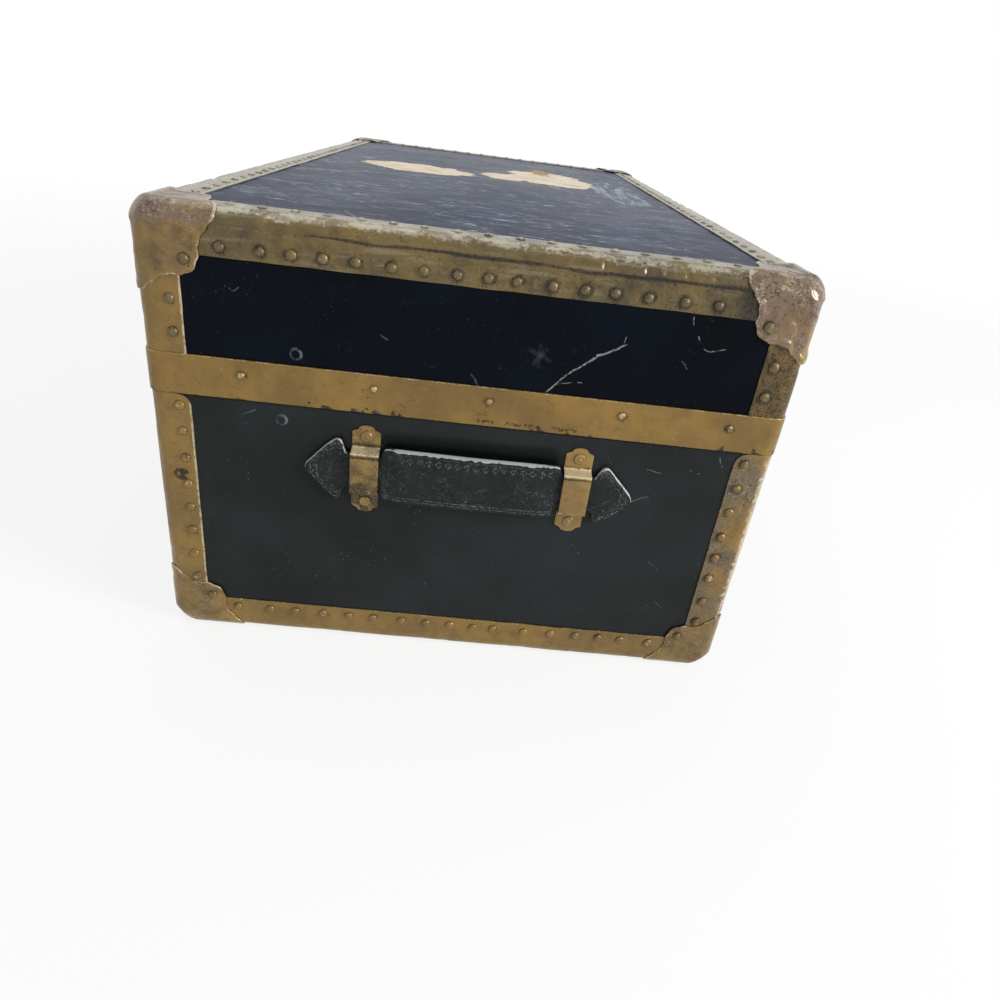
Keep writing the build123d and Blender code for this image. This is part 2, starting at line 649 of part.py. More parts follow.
with BuildPart() as hinge_pins:
    for x in (-HINGE_X, HINGE_X):
        rod(HINGE_PIN, (x, HINGE_AXIS_Y, HINGE_AXIS_Z), HINGE_WIDTH + 1)
        for side in (-1, 1):
            rod(HINGE_PIN + 0.8, (x + side * (HINGE_WIDTH / 2 + 0.7), HINGE_AXIS_Y, HINGE_AXIS_Z), 1.2)
save(hinge_pins, "hinge_pins")

# ---- end handles ----
PANEL_X = HALF_X - SHEET        # outer face of the end's covering
LOOP_INNER = 8.2                # room under a loop's bridge
BRIDGE_HALF = 15.0              # half the bridge's height
EAR_HALF = LOOP_LENGTH / 2
RIVET_OFFSET = 24.0             # loop rivets above and below the handle's line
GRIP_HALF = GRIP_LENGTH / 2
NECK_HALF_HEIGHT = 13.0
HEAD_START = 84.0               # inner shoulder of an arrow head
HEAD_PEAK = 88.5
HEAD_HALF_HEIGHT = 23.3
TIP = HANDLE_LENGTH / 2


def loop_strap(side, y):
    """One bent steel loop: two ogee ears on the panel and a bridge over the leather."""
    front = Plane(origin=(side * PANEL_X, y, HANDLE_Z), x_dir=(0, 1, 0), z_dir=(1, 0, 0))
    profile = Plane(origin=(side * PANEL_X, y, HANDLE_Z), x_dir=(side, 0, 0), z_dir=(0, -side, 0))
    with BuildPart() as strap:
        with BuildSketch(profile) as section:
            with BuildLine():
                Polyline(
                    (0, EAR_HALF),
                    (LOOP_STEEL, EAR_HALF),
                    (LOOP_STEEL, BRIDGE_HALF + 1.5),
                    (LOOP_INNER + LOOP_STEEL, BRIDGE_HALF),
                    (LOOP_INNER + LOOP_STEEL, -BRIDGE_HALF),
                    (LOOP_STEEL, -BRIDGE_HALF - 1.5),
                    (LOOP_STEEL, -EAR_HALF),
                    (0, -EAR_HALF),
                    (0, -BRIDGE_HALF - 0.2),
                    (LOOP_INNER, -BRIDGE_HALF + LOOP_STEEL),
                    (LOOP_INNER, BRIDGE_HALF - LOOP_STEEL),
                    (0, BRIDGE_HALF + 0.2),
                    close=True,
                )
            make_face()
        extrude(section.sketch, amount=LOOP_WIDTH / 2, both=True)
        with BuildSketch(front) as face:
            with BuildLine():
                for up in (1, -1):
                    Line((-LOOP_WIDTH / 2, 0), (-LOOP_WIDTH / 2, up * 27.5))
                    Line((-LOOP_WIDTH / 2, up * 27.5), (-5.2, up * 29.3))
                    ThreePointArc((-5.2, up * 29.3), (0, up * EAR_HALF), (5.2, up * 29.3))
                    Line((5.2, up * 29.3), (LOOP_WIDTH / 2, up * 27.5))
                    Line((LOOP_WIDTH / 2, up * 27.5), (LOOP_WIDTH / 2, 0))
            make_face()
        extrude(face.sketch, amount=2 * LOOP_INNER, both=True, mode=Mode.INTERSECT)
    return strap.part


def handle_outline(side):
    """Front outline of the leather: grip, two necks and two arrow heads."""
    front = Plane(origin=(side * PANEL_X, HANDLE_Y, HANDLE_Z), x_dir=(0, 1, 0), z_dir=(1, 0, 0))
    with BuildSketch(front) as outline:
        Rectangle(2 * GRIP_HALF, GRIP_HEIGHT)
        fillet(outline.vertices(), 4.5)
        Rectangle(2 * HEAD_START + 2, 2 * NECK_HALF_HEIGHT)
        for end in (-1, 1):
            with BuildLine():
                Polyline(
                    (end * HEAD_START, -NECK_HALF_HEIGHT - 4),
                    (end * HEAD_PEAK, -HEAD_HALF_HEIGHT),
                    (end * (TIP - 1.5), -4),
                    (end * TIP, 0),
                    (end * (TIP - 1.5), 4),
                    (end * HEAD_PEAK, HEAD_HALF_HEIGHT),
                    (end * HEAD_START, NECK_HALF_HEIGHT + 4),
                    close=True,
                )
            make_face()
    return outline.sketch


def handle_curve(side):
    """Plan view of the leather: flat in the loops and standing off the panel in the hand's width."""
    plan = Plane(origin=(side * PANEL_X, HANDLE_Y, HANDLE_Z), x_dir=(0, 1, 0), z_dir=(0, 0, -side))
    outer = [(-TIP, 5.3), (-HEAD_START, 5.6), (-63, 6.9), (-42, 10.0), (0, 10.9), (42, 10.0), (63, 6.9)]
    outer += [(HEAD_START, 5.6), (TIP, 5.3)]
    inner = [(TIP, 0.8), (HEAD_START, 0.9), (63, 1.1), (42, 2.9), (0, 3.7), (-42, 2.9), (-63, 1.1)]
    inner += [(-HEAD_START, 0.9), (-TIP, 0.8)]
    with BuildSketch(plan) as curve:
        with BuildLine():
            Spline(*outer)
            Line(outer[-1], inner[0])
            Spline(*inner)
            Line(inner[-1], outer[0])
        make_face()
    return curve.sketch


for name, side in (("left", -1), ("right", 1)):
    with BuildPart() as loops:
        for way in (-1, 1):
            add(loop_strap(side, HANDLE_Y + way * LOOP_SPACING / 2))
    save(loops, f"handle_loops_{name}")

    with BuildPart() as handle:
        extrude(handle_curve(side), amount=HEAD_HALF_HEIGHT + 1, both=True)
        extrude(handle_outline(side), amount=20, both=True, mode=Mode.INTERSECT)
    save(handle, f"leather_handle_{name}")

# ---- rivets ----
rivet = fastener(RIVET_RADIUS, 1.6, 1.2, NAIL_SHANK)
loop_spots = [
    on_face(
        (side, 0, 0),
        side * (PANEL_X + LOOP_STEEL),
        HANDLE_Y + way * LOOP_SPACING / 2,
        HANDLE_Z + up * RIVET_OFFSET,
    )
    for side in (-1, 1)
    for way in (-1, 1)
    for up in (-1, 1)
]
lock_spots = [on_face((0, -1, 0), x, PLATE_FRONT_Y, z) for x in (-28, 28) for z in (129.5, 176.5)]
catch_spots = [
    on_face((0, -1, 0), x + dx, PLATE_FRONT_Y, 147.5) for x in LATCH_X[1:] for dx in (-12, 12)
]
hinge_base_spots = [
    on_face((0, 1, 0), x + dx, SKIN_FACE + LID_PLATE, z)
    for x in (-HINGE_X, HINGE_X)
    for dx in (-20, 20)
    for z in (155, 170)
]
with BuildPart() as base_rivets:
    with Locations(*loop_spots, *lock_spots, *catch_spots, *hinge_base_spots):
        add(rivet)
save(base_rivets, "base_rivets")

flap_spots = [
    on_face((0, -1, 0), x + dx, -BAND_FACE - LID_PLATE, 204.5)
    for x, reach in zip(LATCH_X, (20, 12, 12))
    for dx in (-reach, reach)
]
hinge_lid_spots = [
    on_face((0, 1, 0), x + dx, BAND_FACE + LID_PLATE, 202)
    for x in (-HINGE_X, HINGE_X)
    for dx in (-20, 20)
]
with BuildPart() as lid_rivets:
    with Locations(*flap_spots, *hinge_lid_spots):
        add(rivet)
save(lid_rivets, "lid_rivets")
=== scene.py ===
# %% [markdown]
# # A locker trunk, dressed over its CAD frame
# The trunk is a plywood box under black enamelled sheet, closed along every edge by brass-painted
# steel and nailed all round. The CAD model gives the sizes, the hinges and the places of
# everything. This notebook lays worn, dented and scratched pieces over it, one kind of piece at a
# time. The frame comes first, because every piece rides on one of its bodies.

# %% Load the frame
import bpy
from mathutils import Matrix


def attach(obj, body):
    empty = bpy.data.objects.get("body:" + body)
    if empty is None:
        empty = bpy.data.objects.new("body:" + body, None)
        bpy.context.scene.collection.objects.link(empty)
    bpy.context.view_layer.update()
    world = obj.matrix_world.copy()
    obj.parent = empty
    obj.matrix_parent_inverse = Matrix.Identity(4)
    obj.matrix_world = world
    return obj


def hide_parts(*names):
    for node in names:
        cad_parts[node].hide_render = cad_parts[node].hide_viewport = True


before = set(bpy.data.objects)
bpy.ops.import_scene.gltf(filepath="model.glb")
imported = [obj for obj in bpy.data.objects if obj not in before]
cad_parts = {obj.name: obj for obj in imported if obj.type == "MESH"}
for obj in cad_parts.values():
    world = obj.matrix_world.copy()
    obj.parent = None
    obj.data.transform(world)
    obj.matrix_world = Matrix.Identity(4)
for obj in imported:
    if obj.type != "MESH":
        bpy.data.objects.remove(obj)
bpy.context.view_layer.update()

# %% The tools used below
import math
import random

import bmesh
import bpy
from mathutils import Matrix, Vector, kdtree, noise

MM = 0.001
random.seed(7)


# %% [markdown]
# ## Camera
# A camera is a place, a direction and a lens. This one stands close to the right-hand end and looks
# down on it with a wide lens, so the far end of the lid shrinks a lot, and it leans a few degrees
# to one side. Two measured directions are enough to turn it: where it looks, and what is to its
# right.

# %% Camera
CAMERA_PLACE = Vector((0.8195, -0.0031, 0.3698))
CAMERA_LOOKS = Vector((-0.87683, 0.05863, -0.47722)).normalized()
CAMERA_RIGHT = Vector((0.00320, 0.99323, 0.11615)).normalized()
camera_up = CAMERA_RIGHT.cross(CAMERA_LOOKS)
camera = bpy.data.objects.new("camera", bpy.data.cameras.new("camera"))
camera.data.sensor_width = 36
camera.data.lens = 26.1
camera.data.clip_start = 0.01
turned = Matrix((CAMERA_RIGHT, camera_up, -CAMERA_LOOKS)).transposed()
camera.matrix_world = Matrix.Translation(CAMERA_PLACE) @ turned.to_4x4()
bpy.context.scene.collection.objects.link(camera)
bpy.context.scene.camera = camera
bpy.context.scene.view_settings.view_transform = "Standard"
print("lens", camera.data.lens, "mm")


# %% [markdown]
# ## Mixing a finish
# Every finish here is a Principled shader fed by noise. Writing node after node is long, so a small
# helper keeps the node tree and gives short names to the steps that repeat: a noise, a soft
# threshold, a blend, a coat of paint over the coats before it, and a stroke, which is the distance
# to a line between two points and so makes a single scratch. Patterns read Object coordinates in
# metres, so they stay fixed to the piece and have their real size.

# %% The finish helper
def colour(red, green, blue):
    """A paint given by its everyday 0 to 255 numbers, as the linear colour that the shader wants."""
    linear = [(c / 255 / 12.92 if c < 11 else ((c / 255 + 0.055) / 1.055) ** 2.4)
              for c in (red, green, blue)]
    return (*linear, 1.0)


class Finish:
    """One material and the nodes it is mixed from."""

    def __init__(self, name, roughness=0.5, metallic=0.0, specular=0.5):
        self.material = bpy.data.materials.new(name)
        self.material.use_nodes = True
        self.tree = self.material.node_tree
        self.shader = self.tree.nodes["Principled BSDF"]
        self.shader.inputs["Roughness"].default_value = roughness
        self.shader.inputs["Metallic"].default_value = metallic
        self.shader.inputs["Specular IOR Level"].default_value = specular
        self.where = self.node("TexCoord").outputs["Object"]

    def node(self, kind, feeds=(), **settings):
        made = self.tree.nodes.new("ShaderNode" + kind)
        for key, value in settings.items():
            setattr(made, key, value)
        for key, value in dict(feeds).items():
            self.feed(made.inputs[key], value)
        return made

    def feed(self, socket, value):
        if isinstance(value, bpy.types.NodeSocket):
            self.tree.links.new(value, socket)
        else:
            socket.default_value = value

    def math(self, operation, a, b=0.0, clamp=False):
        return self.node("Math", {0: a, 1: b}, operation=operation, use_clamp=clamp).outputs[0]

    def vector(self, operation, a, b=(0, 0, 0)):
        made = self.node("VectorMath", {0: a, 1: b}, operation=operation)
        return made.outputs["Value" if operation in ("DOT_PRODUCT", "LENGTH", "DISTANCE") else "Vector"]

    def noise(self, scale, detail=3.0, roughness=0.55, stretch=(1, 1, 1), shift=(0, 0, 0)):
        """Noise whose lumps are about 1/scale metres across, squeezed by stretch."""
        place = self.node("Mapping", {"Vector": self.where, "Scale": stretch, "Location": shift}).outputs[0]
        feeds = {"Vector": place, "Scale": scale, "Detail": detail, "Roughness": roughness}
        return self.node("TexNoise", feeds).outputs["Fac"]

    def mask(self, value, low, high):
        """0 below low, 1 above high, and a soft step between."""
        feeds = {"Value": value, "From Min": low, "From Max": high}
        return self.node("MapRange", feeds, interpolation_type="SMOOTHSTEP").outputs[0]

    def blend(self, factor, under, over):
        made = self.node("Mix", {0: factor, 6: under, 7: over}, data_type="RGBA")
        return made.outputs[2]

    def ground(self, where, under, over):
        """The first coat: paint under where the mask is 0, paint over where it is 1."""
        self.base = self.blend(where, colour(*under), colour(*over))

    def coat(self, where, share, paint):
        """More paint on top of what is there, at most share of it, where the mask is 1."""
        mixed = isinstance(paint, bpy.types.NodeSocket)
        self.base = self.blend(self.both(where, share), self.base, paint if mixed else colour(*paint))

    def both(self, a, b):
        """High only where both masks are."""
        return self.math("MULTIPLY", a, b)

    def either(self, *masks):
        """High where any of the masks is."""
        whole = masks[0]
        for mask in masks[1:]:
            whole = self.math("MAXIMUM", whole, mask)
        return whole

    def inverse(self, a):
        return self.math("SUBTRACT", 1.0, a)

    def ragged(self, amount, pattern, share, low, high):
        """A mask of some amount, with its edge broken up by a share of a pattern."""
        return self.mask(self.math("ADD", amount, self.both(pattern, share)), low, high)

    def axes(self):
        """The x, the y and the z of the place, each by itself."""
        return self.node("SeparateXYZ", {0: self.where}).outputs

    def wear(self):
        """The three amounts written on the piece's own points: wear and dirt, with some painted highlight
        and painted shade.
        """
        read = self.node("Attribute", attribute_name="wear").outputs["Color"]
        parts = self.node("SeparateColor", {0: read}).outputs
        return parts[0], parts[1], parts[2]

    def stroke(self, start, end, width, place=None):
        """1 on a straight scratch between two points, 0 off it."""
        start, end = Vector(start), Vector(end)
        run = end - start
        off = self.vector("SUBTRACT", place or self.where, tuple(start))
        along = self.math("DIVIDE", self.vector("DOT_PRODUCT", off, tuple(run)), run.length_squared,
                          clamp=True)
        nearest = self.node("VectorMath", {0: tuple(run), "Scale": along}, operation="SCALE").outputs[0]
        gap = self.vector("DISTANCE", off, nearest)
        return self.inverse(self.mask(gap, width * 0.25, width * 0.75))

    def bump(self, height, depth, under=None):
        """Height in 0 to 1 turned into relief of that depth in metres."""
        feeds = {"Height": height, "Distance": depth, "Strength": 1.0}
        if under:
            feeds["Normal"] = under
        return self.node("Bump", feeds).outputs[0]

    def done(self, roughness, normal):
        """Joins the coats, the roughness and the relief to the shader, and gives back the material."""
        self.feed(self.shader.inputs["Base Color"], self.base)
        self.feed(self.shader.inputs["Roughness"], roughness)
        self.feed(self.shader.inputs["Normal"], normal)
        print(self.material.name, "mixed from", len(self.tree.nodes), "nodes")
        return self.material


# %% [markdown]
# ## Floor and light
# The trunk stands on a pale floor under a large soft light. A smaller one stands low at the back
# right, so that it rakes across the right-hand end: every nail head there gets a bright side and a
# shaded one. The world is plain white where the camera or a reflection sees it, and dimmer where it
# lights the trunk, so that the background is white and the colours still come out as they are
# mixed. The floor glows the same way, a little less close to the trunk, so that its shadow still
# shows.

# %% World
WORLD_LIGHT = 0.47


def seen_directly(tree):
    """1 for rays from the camera, a reflection or something clear, 0 for rays that only carry light."""
    path = tree.nodes.new("ShaderNodeLightPath")
    total = path.outputs["Is Camera Ray"]
    for kind in ("Is Glossy Ray", "Is Transmission Ray"):
        adder = tree.nodes.new("ShaderNodeMath")
        adder.operation, adder.use_clamp = "ADD", True
        tree.links.new(total, adder.inputs[0])
        tree.links.new(path.outputs[kind], adder.inputs[1])
        total = adder.outputs[0]
    return total


world = bpy.data.worlds.new("studio")
bpy.context.scene.world = world
world.use_nodes = True
sky = world.node_tree
background = sky.nodes["Background"]
background.inputs["Color"].default_value = (1, 1, 1, 1)
strength = sky.nodes.new("ShaderNodeMapRange")
strength.inputs["To Min"].default_value = WORLD_LIGHT
strength.inputs["To Max"].default_value = 1.0
sky.links.new(seen_directly(sky), strength.inputs["Value"])
sky.links.new(strength.outputs[0], background.inputs["Strength"])
print("the world lights the trunk at", WORLD_LIGHT)

# %% Floor
floor_bm = bmesh.new()
bmesh.ops.create_grid(floor_bm, x_segments=1, y_segments=1, size=12)
floor_mesh = bpy.data.meshes.new("floor")
floor_bm.to_mesh(floor_mesh)
floor_bm.free()
floor = bpy.data.objects.new("floor", floor_mesh)
bpy.context.scene.collection.objects.link(floor)

floor_paint = Finish("floor_paint", roughness=0.9, specular=0.1)
floor_paint.shader.inputs["Base Color"].default_value = (0.92, 0.92, 0.92, 1)
glow = floor_paint.node("Emission", {"Color": (1, 1, 1, 1)}).outputs[0]
reach = floor_paint.vector("LENGTH", floor_paint.where)
fade = floor_paint.node("MapRange",
                        {"Value": reach, "From Min": 0.8, "From Max": 2.2, "To Min": 0.82, "To Max": 1.0})
glowing = floor_paint.both(seen_directly(floor_paint.tree), fade.outputs[0])
mixed = floor_paint.node("MixShader", {0: glowing, 1: floor_paint.shader.outputs[0], 2: glow}).outputs[0]
floor_paint.feed(floor_paint.tree.nodes["Material Output"].inputs["Surface"], mixed)
floor_mesh.materials.append(floor_paint.material)
print("floor laid at height", floor.location.z)


# %% Lamps
def soft_lamp(name, place, aim, size, watts):
    """A square lamp that shines from place towards aim."""
    lamp = bpy.data.objects.new(name, bpy.data.lights.new(name, "AREA"))
    lamp.data.size = size
    lamp.data.energy = watts
    lamp.location = place
    lamp.rotation_euler = (Vector(aim) - Vector(place)).to_track_quat("-Z", "Y").to_euler()
    bpy.context.scene.collection.objects.link(lamp)
    print(name, "lamp:", watts, "W")


soft_lamp("overhead", (-0.6, -0.5, 2.6), (0, 0, 0.2), 2.2, 16)
soft_lamp("raking", (1.25, 1.9, 1.05), (0.3, 0, 0.15), 0.7, 42)


# %% [markdown]
# ## Brass paint
# The bindings are steel under brass-coloured paint. Real paint of this age is never one colour: it
# has dulled to olive and brown in broad drifts, gone thin and grey where hands and floors have
# rubbed it, and it carries dark specks, hair-thin scratches and brown rust. Three amounts are
# painted on the points of each piece: lightened, darkened, browned. They are mostly wear and dirt,
# but lightened also carries painted highlights and darkened carries painted shade. The shader breaks
# their edges up with noise, so each sits where it belongs and still looks accidental. A hair scratch
# is the thin line along which a noise passes through its middle value.

# %% Brass paint
def hairline(finish, scale, stretch, shift, width=0.004, field=55, rare=0.5):
    """Thin wandering lines, broken into short runs that lie where a broader noise is high."""
    path = finish.math("ABSOLUTE",
                       finish.math("SUBTRACT", finish.noise(scale, 3, 0.6, stretch, shift), 0.5))
    line = finish.inverse(finish.mask(path, width * 0.4, width))
    return finish.both(line, finish.mask(finish.noise(field, 2, 0.5, shift=shift), rare, rare + 0.1))


def hairlines(finish, *kinds):
    """Several kinds of hairline together."""
    return finish.either(*[hairline(finish, *kind) for kind in kinds])


def brass_paint(name, gold, dull, brown, bare, rust, gloss=0.42, mottled=0.6, scratched=0.35, streaked=0.0,
                chipped=()):
    """Old brass paint, from its two main colours down to rust, with so much of each kind of wear and of
    painted light.
    """
    finish = Finish(name, metallic=0.3)
    # Lightened is wear with some painted highlight, darkened is dirt with some painted shade, browned is
    # rust.
    lightened, darkened, browned = finish.wear()
    drift = finish.noise(16, 4, 0.6)
    blotch = finish.noise(85, 6, 0.68)
    mottle = finish.noise(300, 4, 0.7, shift=(0.2, 0, 0))
    grit = finish.noise(760, 3, 0.6)
    finish.ground(finish.mask(drift, 0.36, 0.64), gold, dull)
    finish.coat(finish.mask(blotch, 0.46, 0.66), mottled, brown)
    finish.coat(finish.mask(mottle, 0.5, 0.7), mottled * 0.5, brown)
    finish.coat(finish.mask(mottle, 0.5, 0.3), mottled * 0.35, gold)
    finish.coat(finish.ragged(browned, blotch, 0.9, 0.72, 1.1), 0.85, rust)
    finish.coat(finish.ragged(lightened, mottle, 1.2, 0.95, 1.25), 0.85, bare)
    if streaked:
        streak = finish.noise(240, 3, 0.6, stretch=(1, 0.1, 1), shift=(0.5, 0.5, 0))
        finish.coat(finish.mask(streak, 0.56, 0.68), streaked, bare)
        finish.coat(finish.mask(streak, 0.44, 0.34), streaked, brown)
    scratch = hairlines(finish, (70, (1, 1, 1), (0.4, 0.1, 0)), (90, (1, 0.3, 1), (0, 0.5, 0)))
    finish.coat(scratch, scratched, (206, 190, 158))
    fine = hairlines(finish, (130, (1, 1, 0.5), (0.3, 0.6, 0), 0.008, 70, 0.46),
                     (190, (1, 0.5, 1), (0.8, 0.1, 0), 0.008, 70, 0.46))
    finish.coat(fine, finish.mask(browned, 0.3, 1.0), (182, 172, 156))
    dark_fine = finish.either(hairline(finish, 150, (0.5, 1, 1), (0.1, 0.9, 0.4), 0.018, 60, 0.4),
                              finish.mask(finish.noise(420, 4, 0.7, shift=(0.6, 0.2, 0)), 0.58, 0.66))
    finish.coat(dark_fine, finish.mask(browned, 0.25, 0.85), (58, 46, 38))
    dark_scratch = hairline(finish, 60, (1, 0.35, 1), (0.9, 0.2, 0.3), 0.005)
    finish.coat(dark_scratch, 0.5, (50, 40, 28))
    finish.coat(finish.ragged(darkened, blotch, 0.8, 0.62, 1.0), 0.7, (40, 33, 23))
    finish.coat(finish.ragged(finish.noise(640, 3, 0.6), darkened, 0.3, 0.68, 0.74), 0.8, (28, 24, 18))
    pits = finish.mask(grit, 0.69, 0.74)
    finish.coat(pits, 0.5, (44, 35, 24))
    for start, end in chipped:
        chips = finish.both(finish.stroke(start, end, 0.0024),
                            finish.mask(finish.noise(620, 3, 0.6), 0.47, 0.53))
        finish.coat(chips, 0.85, (40, 31, 20))
    rough = finish.math("ADD", finish.both(blotch, 0.3), gloss - 0.15)
    relief = finish.bump(finish.inverse(pits), 0.00018, finish.bump(blotch, 0.0006))
    return finish.done(rough, relief)


PINK_RUST = (126, 94, 78)
BAND_FACE = 0.3848
BAND_CHIPS = [(Vector((BAND_FACE, a * MM, 0.1898)), Vector((BAND_FACE, b * MM, 0.1892)))
              for a, b in ((3, 14), (23, 32), (36, 45), (54, 60), (63, 69))]
band_brass = brass_paint("band_brass", (143, 112, 52), (118, 92, 44), (98, 76, 40),
                         (186, 162, 112), PINK_RUST, gloss=0.36, mottled=0.3, scratched=0.12,
                         chipped=BAND_CHIPS)
rolled_brass = brass_paint("rolled_brass", (116, 96, 53), (86, 75, 48), (58, 50, 34),
                           (168, 163, 144), PINK_RUST, gloss=0.26, mottled=0.5, scratched=0.2, streaked=0.2)
edge_brass = brass_paint("edge_brass", (142, 112, 55), (122, 98, 52), (92, 75, 45),
                         (200, 184, 150), (106, 94, 74), gloss=0.36, mottled=0.4, scratched=0.2)
cap_brass = brass_paint("cap_brass", (152, 123, 66), (122, 99, 58), (86, 68, 46),
                        (192, 178, 152), (120, 99, 84), gloss=0.25, mottled=0.7, scratched=0.4)
nail_brass = brass_paint("nail_brass", (118, 102, 62), (96, 83, 52), (62, 52, 35),
                         (168, 158, 134), PINK_RUST, gloss=0.40, mottled=0.6)
loop_brass = brass_paint("loop_brass", (166, 134, 71), (132, 106, 60), (94, 75, 46),
                         (224, 210, 172), (88, 66, 44), gloss=0.27, mottled=0.4, scratched=0.15)


# %% [markdown]
# ## Bent sheet
# A binding is a strip of steel folded over an edge of the box. The whole trunk is treated as one
# block with rounded edges: a point is set down on the sharp block, carried onto the rounded one,
# and pushed out a little. So a flat grid turns into a folded strip, and dents are simply a wavering
# of how far it is pushed out. The eight corners are rounder than the edges, so there every point is
# also drawn in onto a ball. The grid has no thickness until a Solidify modifier adds it on the
# inside, and a small Bevel softens the cut edge.

# %% The block under every sheet
HALF = Vector((0.384, 0.205, 0.1495))
MIDDLE = Vector((0, 0, 0.1505))
TOP, BOTTOM = 0.300, 0.001
EDGE_RADIUS = 0.010
CORNER_BALL, BALL_INSET = 0.026, 0.0208
SHEET = 0.001
SOFT_CUT = 0.0002
SHARP_FROM = math.radians(50)


def on_block(sharp, proud=0.0):
    """A point of the sharp block, set on the block with rounded edges and corners, a little proud of it."""
    local = sharp - MIDDLE
    core = Vector([max(EDGE_RADIUS - h, min(h - EDGE_RADIUS, c)) for c, h in zip(local, HALF)])
    rounded = core + (local - core).normalized() * (EDGE_RADIUS + proud)
    ball = Vector([math.copysign(h - BALL_INSET, c) for c, h in zip(local, HALF)])
    from_ball = rounded - ball
    in_corner = all(gap * side > 0 for gap, side in zip(from_ball, local))
    if in_corner and from_ball.length > CORNER_BALL + proud:
        rounded = ball + from_ball.normalized() * (CORNER_BALL + proud)
    return MIDDLE + rounded


def soft_step(value, low, high):
    """0 below low and 1 above high, with a smooth climb between."""
    share = max(0.0, min(1.0, (value - low) / (high - low)))
    return share * share * (3 - 2 * share)


def ridge(value, middle, width):
    """1 at the middle, fading away on both sides like a soft pencil line."""
    return math.exp(-((value - middle) / width) ** 2)


def lumps(point, size, seed=0.0):
    """Smooth random value from -1 to 1 with lumps about size across."""
    return noise.noise(point / size + Vector((seed, seed * 1.7, -seed)))


def bent_sheet(columns, rows, place):
    """A flat grid whose points are set down by place(u, v), with u and v from 0 to 1."""
    sheet = bmesh.new()
    bmesh.ops.create_grid(sheet, x_segments=columns, y_segments=rows, size=0.5)
    for point in sheet.verts:
        point.co = place(point.co.x + 0.5, point.co.y + 0.5)
    return sheet


def face_outwards(sheet, middle):
    """Turns an open sheet so that its faces look away from middle."""
    sheet.normal_update()
    looks = sum((f.calc_center_median() - middle).normalized().dot(f.normal) for f in sheet.faces)
    if looks < 0:
        bmesh.ops.reverse_faces(sheet, faces=sheet.faces[:])


def mark_amounts(sheet, amounts):
    """Writes the lightened, darkened and browned amounts on every point."""
    layer = sheet.verts.layers.float_color.new("wear")
    for point in sheet.verts:
        point[layer] = (*amounts(point.co), 1.0)


def finished(name, shape, body, finish, replaced, thickness=0.0, rounding=0.0, crease=SHARP_FROM):
    """Turns a bmesh into a piece that rides on a body and stands for some CAD nodes."""
    mesh = bpy.data.meshes.new(name)
    shape.normal_update()
    shape.to_mesh(mesh)
    shape.free()
    mesh.materials.append(finish)
    mesh.shade_smooth()
    if crease:
        mesh.set_sharp_from_angle(angle=crease)
    piece = bpy.data.objects.new(name, mesh)
    bpy.context.scene.collection.objects.link(piece)
    if thickness:
        solid = piece.modifiers.new("thickness", "SOLIDIFY")
        solid.thickness = thickness
        solid.offset = -1
    if rounding:
        soft = piece.modifiers.new("soft_edges", "BEVEL")
        soft.width = rounding
        soft.segments = 2
        soft.limit_method = "ANGLE"
        soft.angle_limit = SHARP_FROM
    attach(piece, body)
    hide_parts(*replaced)


# %% [markdown]
# ## Where the nails go
# Over five hundred domed nails hold the bindings. Their places come before the sheet they are
# driven through, because the sheet is darkened in a ring round every head and has to know
# where. On the right-hand end the nails sit where a hand put them, a little unevenly; elsewhere
# they are spaced evenly. A k-d tree finds the nearest one quickly.

# %% Nail places
SEAM, LID_FOOT, BAND_TOP = 0.186, 0.1864, 0.2126
BAND_PROUD = 0.0008
X, Y, Z = Vector((1, 0, 0)), Vector((0, 1, 0)), Vector((0, 0, 1))
CORNERS = {"front_left": (-1, -1), "front_right": (1, -1), "back_left": (-1, 1), "back_right": (1, 1)}
NAIL_HEAD, NAIL_RISE = 0.0034, 0.0022
LID_NAIL_Z, BASE_NAIL_Z, BAND_NAIL_Z = 0.279, 0.0215, 0.2031
LID_CAP_NAIL_Z, BASE_CAP_NAIL_Z = 0.270, 0.031
LID_LEVELS = [0.246, 0.226]
BASE_LEVELS = [0.0455, 0.065, 0.085, 0.103, 0.121, 0.141, 0.160, 0.1785]
FLAT_INSET, UPRIGHT_INSET, CAP_INSET = 0.021, 0.0203, 0.031
CAP_PROUD = 0.0009
ROW_START = 0.052


def spread(half_span, count):
    """Evenly spaced places on both sides of the middle."""
    return [-half_span + 2 * half_span * step / (count - 1) for step in range(count)]


LONG_ROW = spread(HALF.x - ROW_START, 35)
SHORT_ROW = spread(HALF.y - ROW_START, 17)
TOP_ROW_RIGHT = [-153.9, -130.6, -112.8, -94.7, -75.3, -54.4, -36.4, -16.4, 2.2, 19.7, 40.3, 60, 78.1,
                 98.1, 120.3, 140.6]
LOW_ROW_RIGHT = [-156.7, -133.6, -114.4, -94.2, -74.7, -57.2, -35.8, -17.2, 0.8, 18.3, 33, 57.2, 77.5,
                 96.7, 113.9, 131.1, 153.3]
BAND_ROW_RIGHT = [-144.7, -62.2, 10.8, 96.7, 167.5]
BAND_LONG_ROW = [x * MM for x in (-332, -285, -185, -115, -45, 45, 115, 185, 285, 332)]


def wall_nails(z, long_row, short_row, right_row, proud=0.0):
    """One level of nails on all four walls."""
    spots = []
    for side in (-1, 1):
        spots += [(Vector((x, side * (HALF.y + proud), z)), side * Y) for x in long_row]
    spots += [(Vector((-HALF.x - proud, y, z)), -X) for y in short_row]
    spots += [(Vector((HALF.x + proud, y * MM, z)), X) for y in right_row]
    return spots


def upright_nails(levels):
    """Two nails at each level of each upright, one in each of its leaves."""
    spots = []
    for side_x, side_y in CORNERS.values():
        for z in levels:
            spots.append((Vector((side_x * (HALF.x - UPRIGHT_INSET), side_y * HALF.y, z)), side_y * Y))
            spots.append((Vector((side_x * HALF.x, side_y * (HALF.y - UPRIGHT_INSET), z)), side_x * X))
    return spots


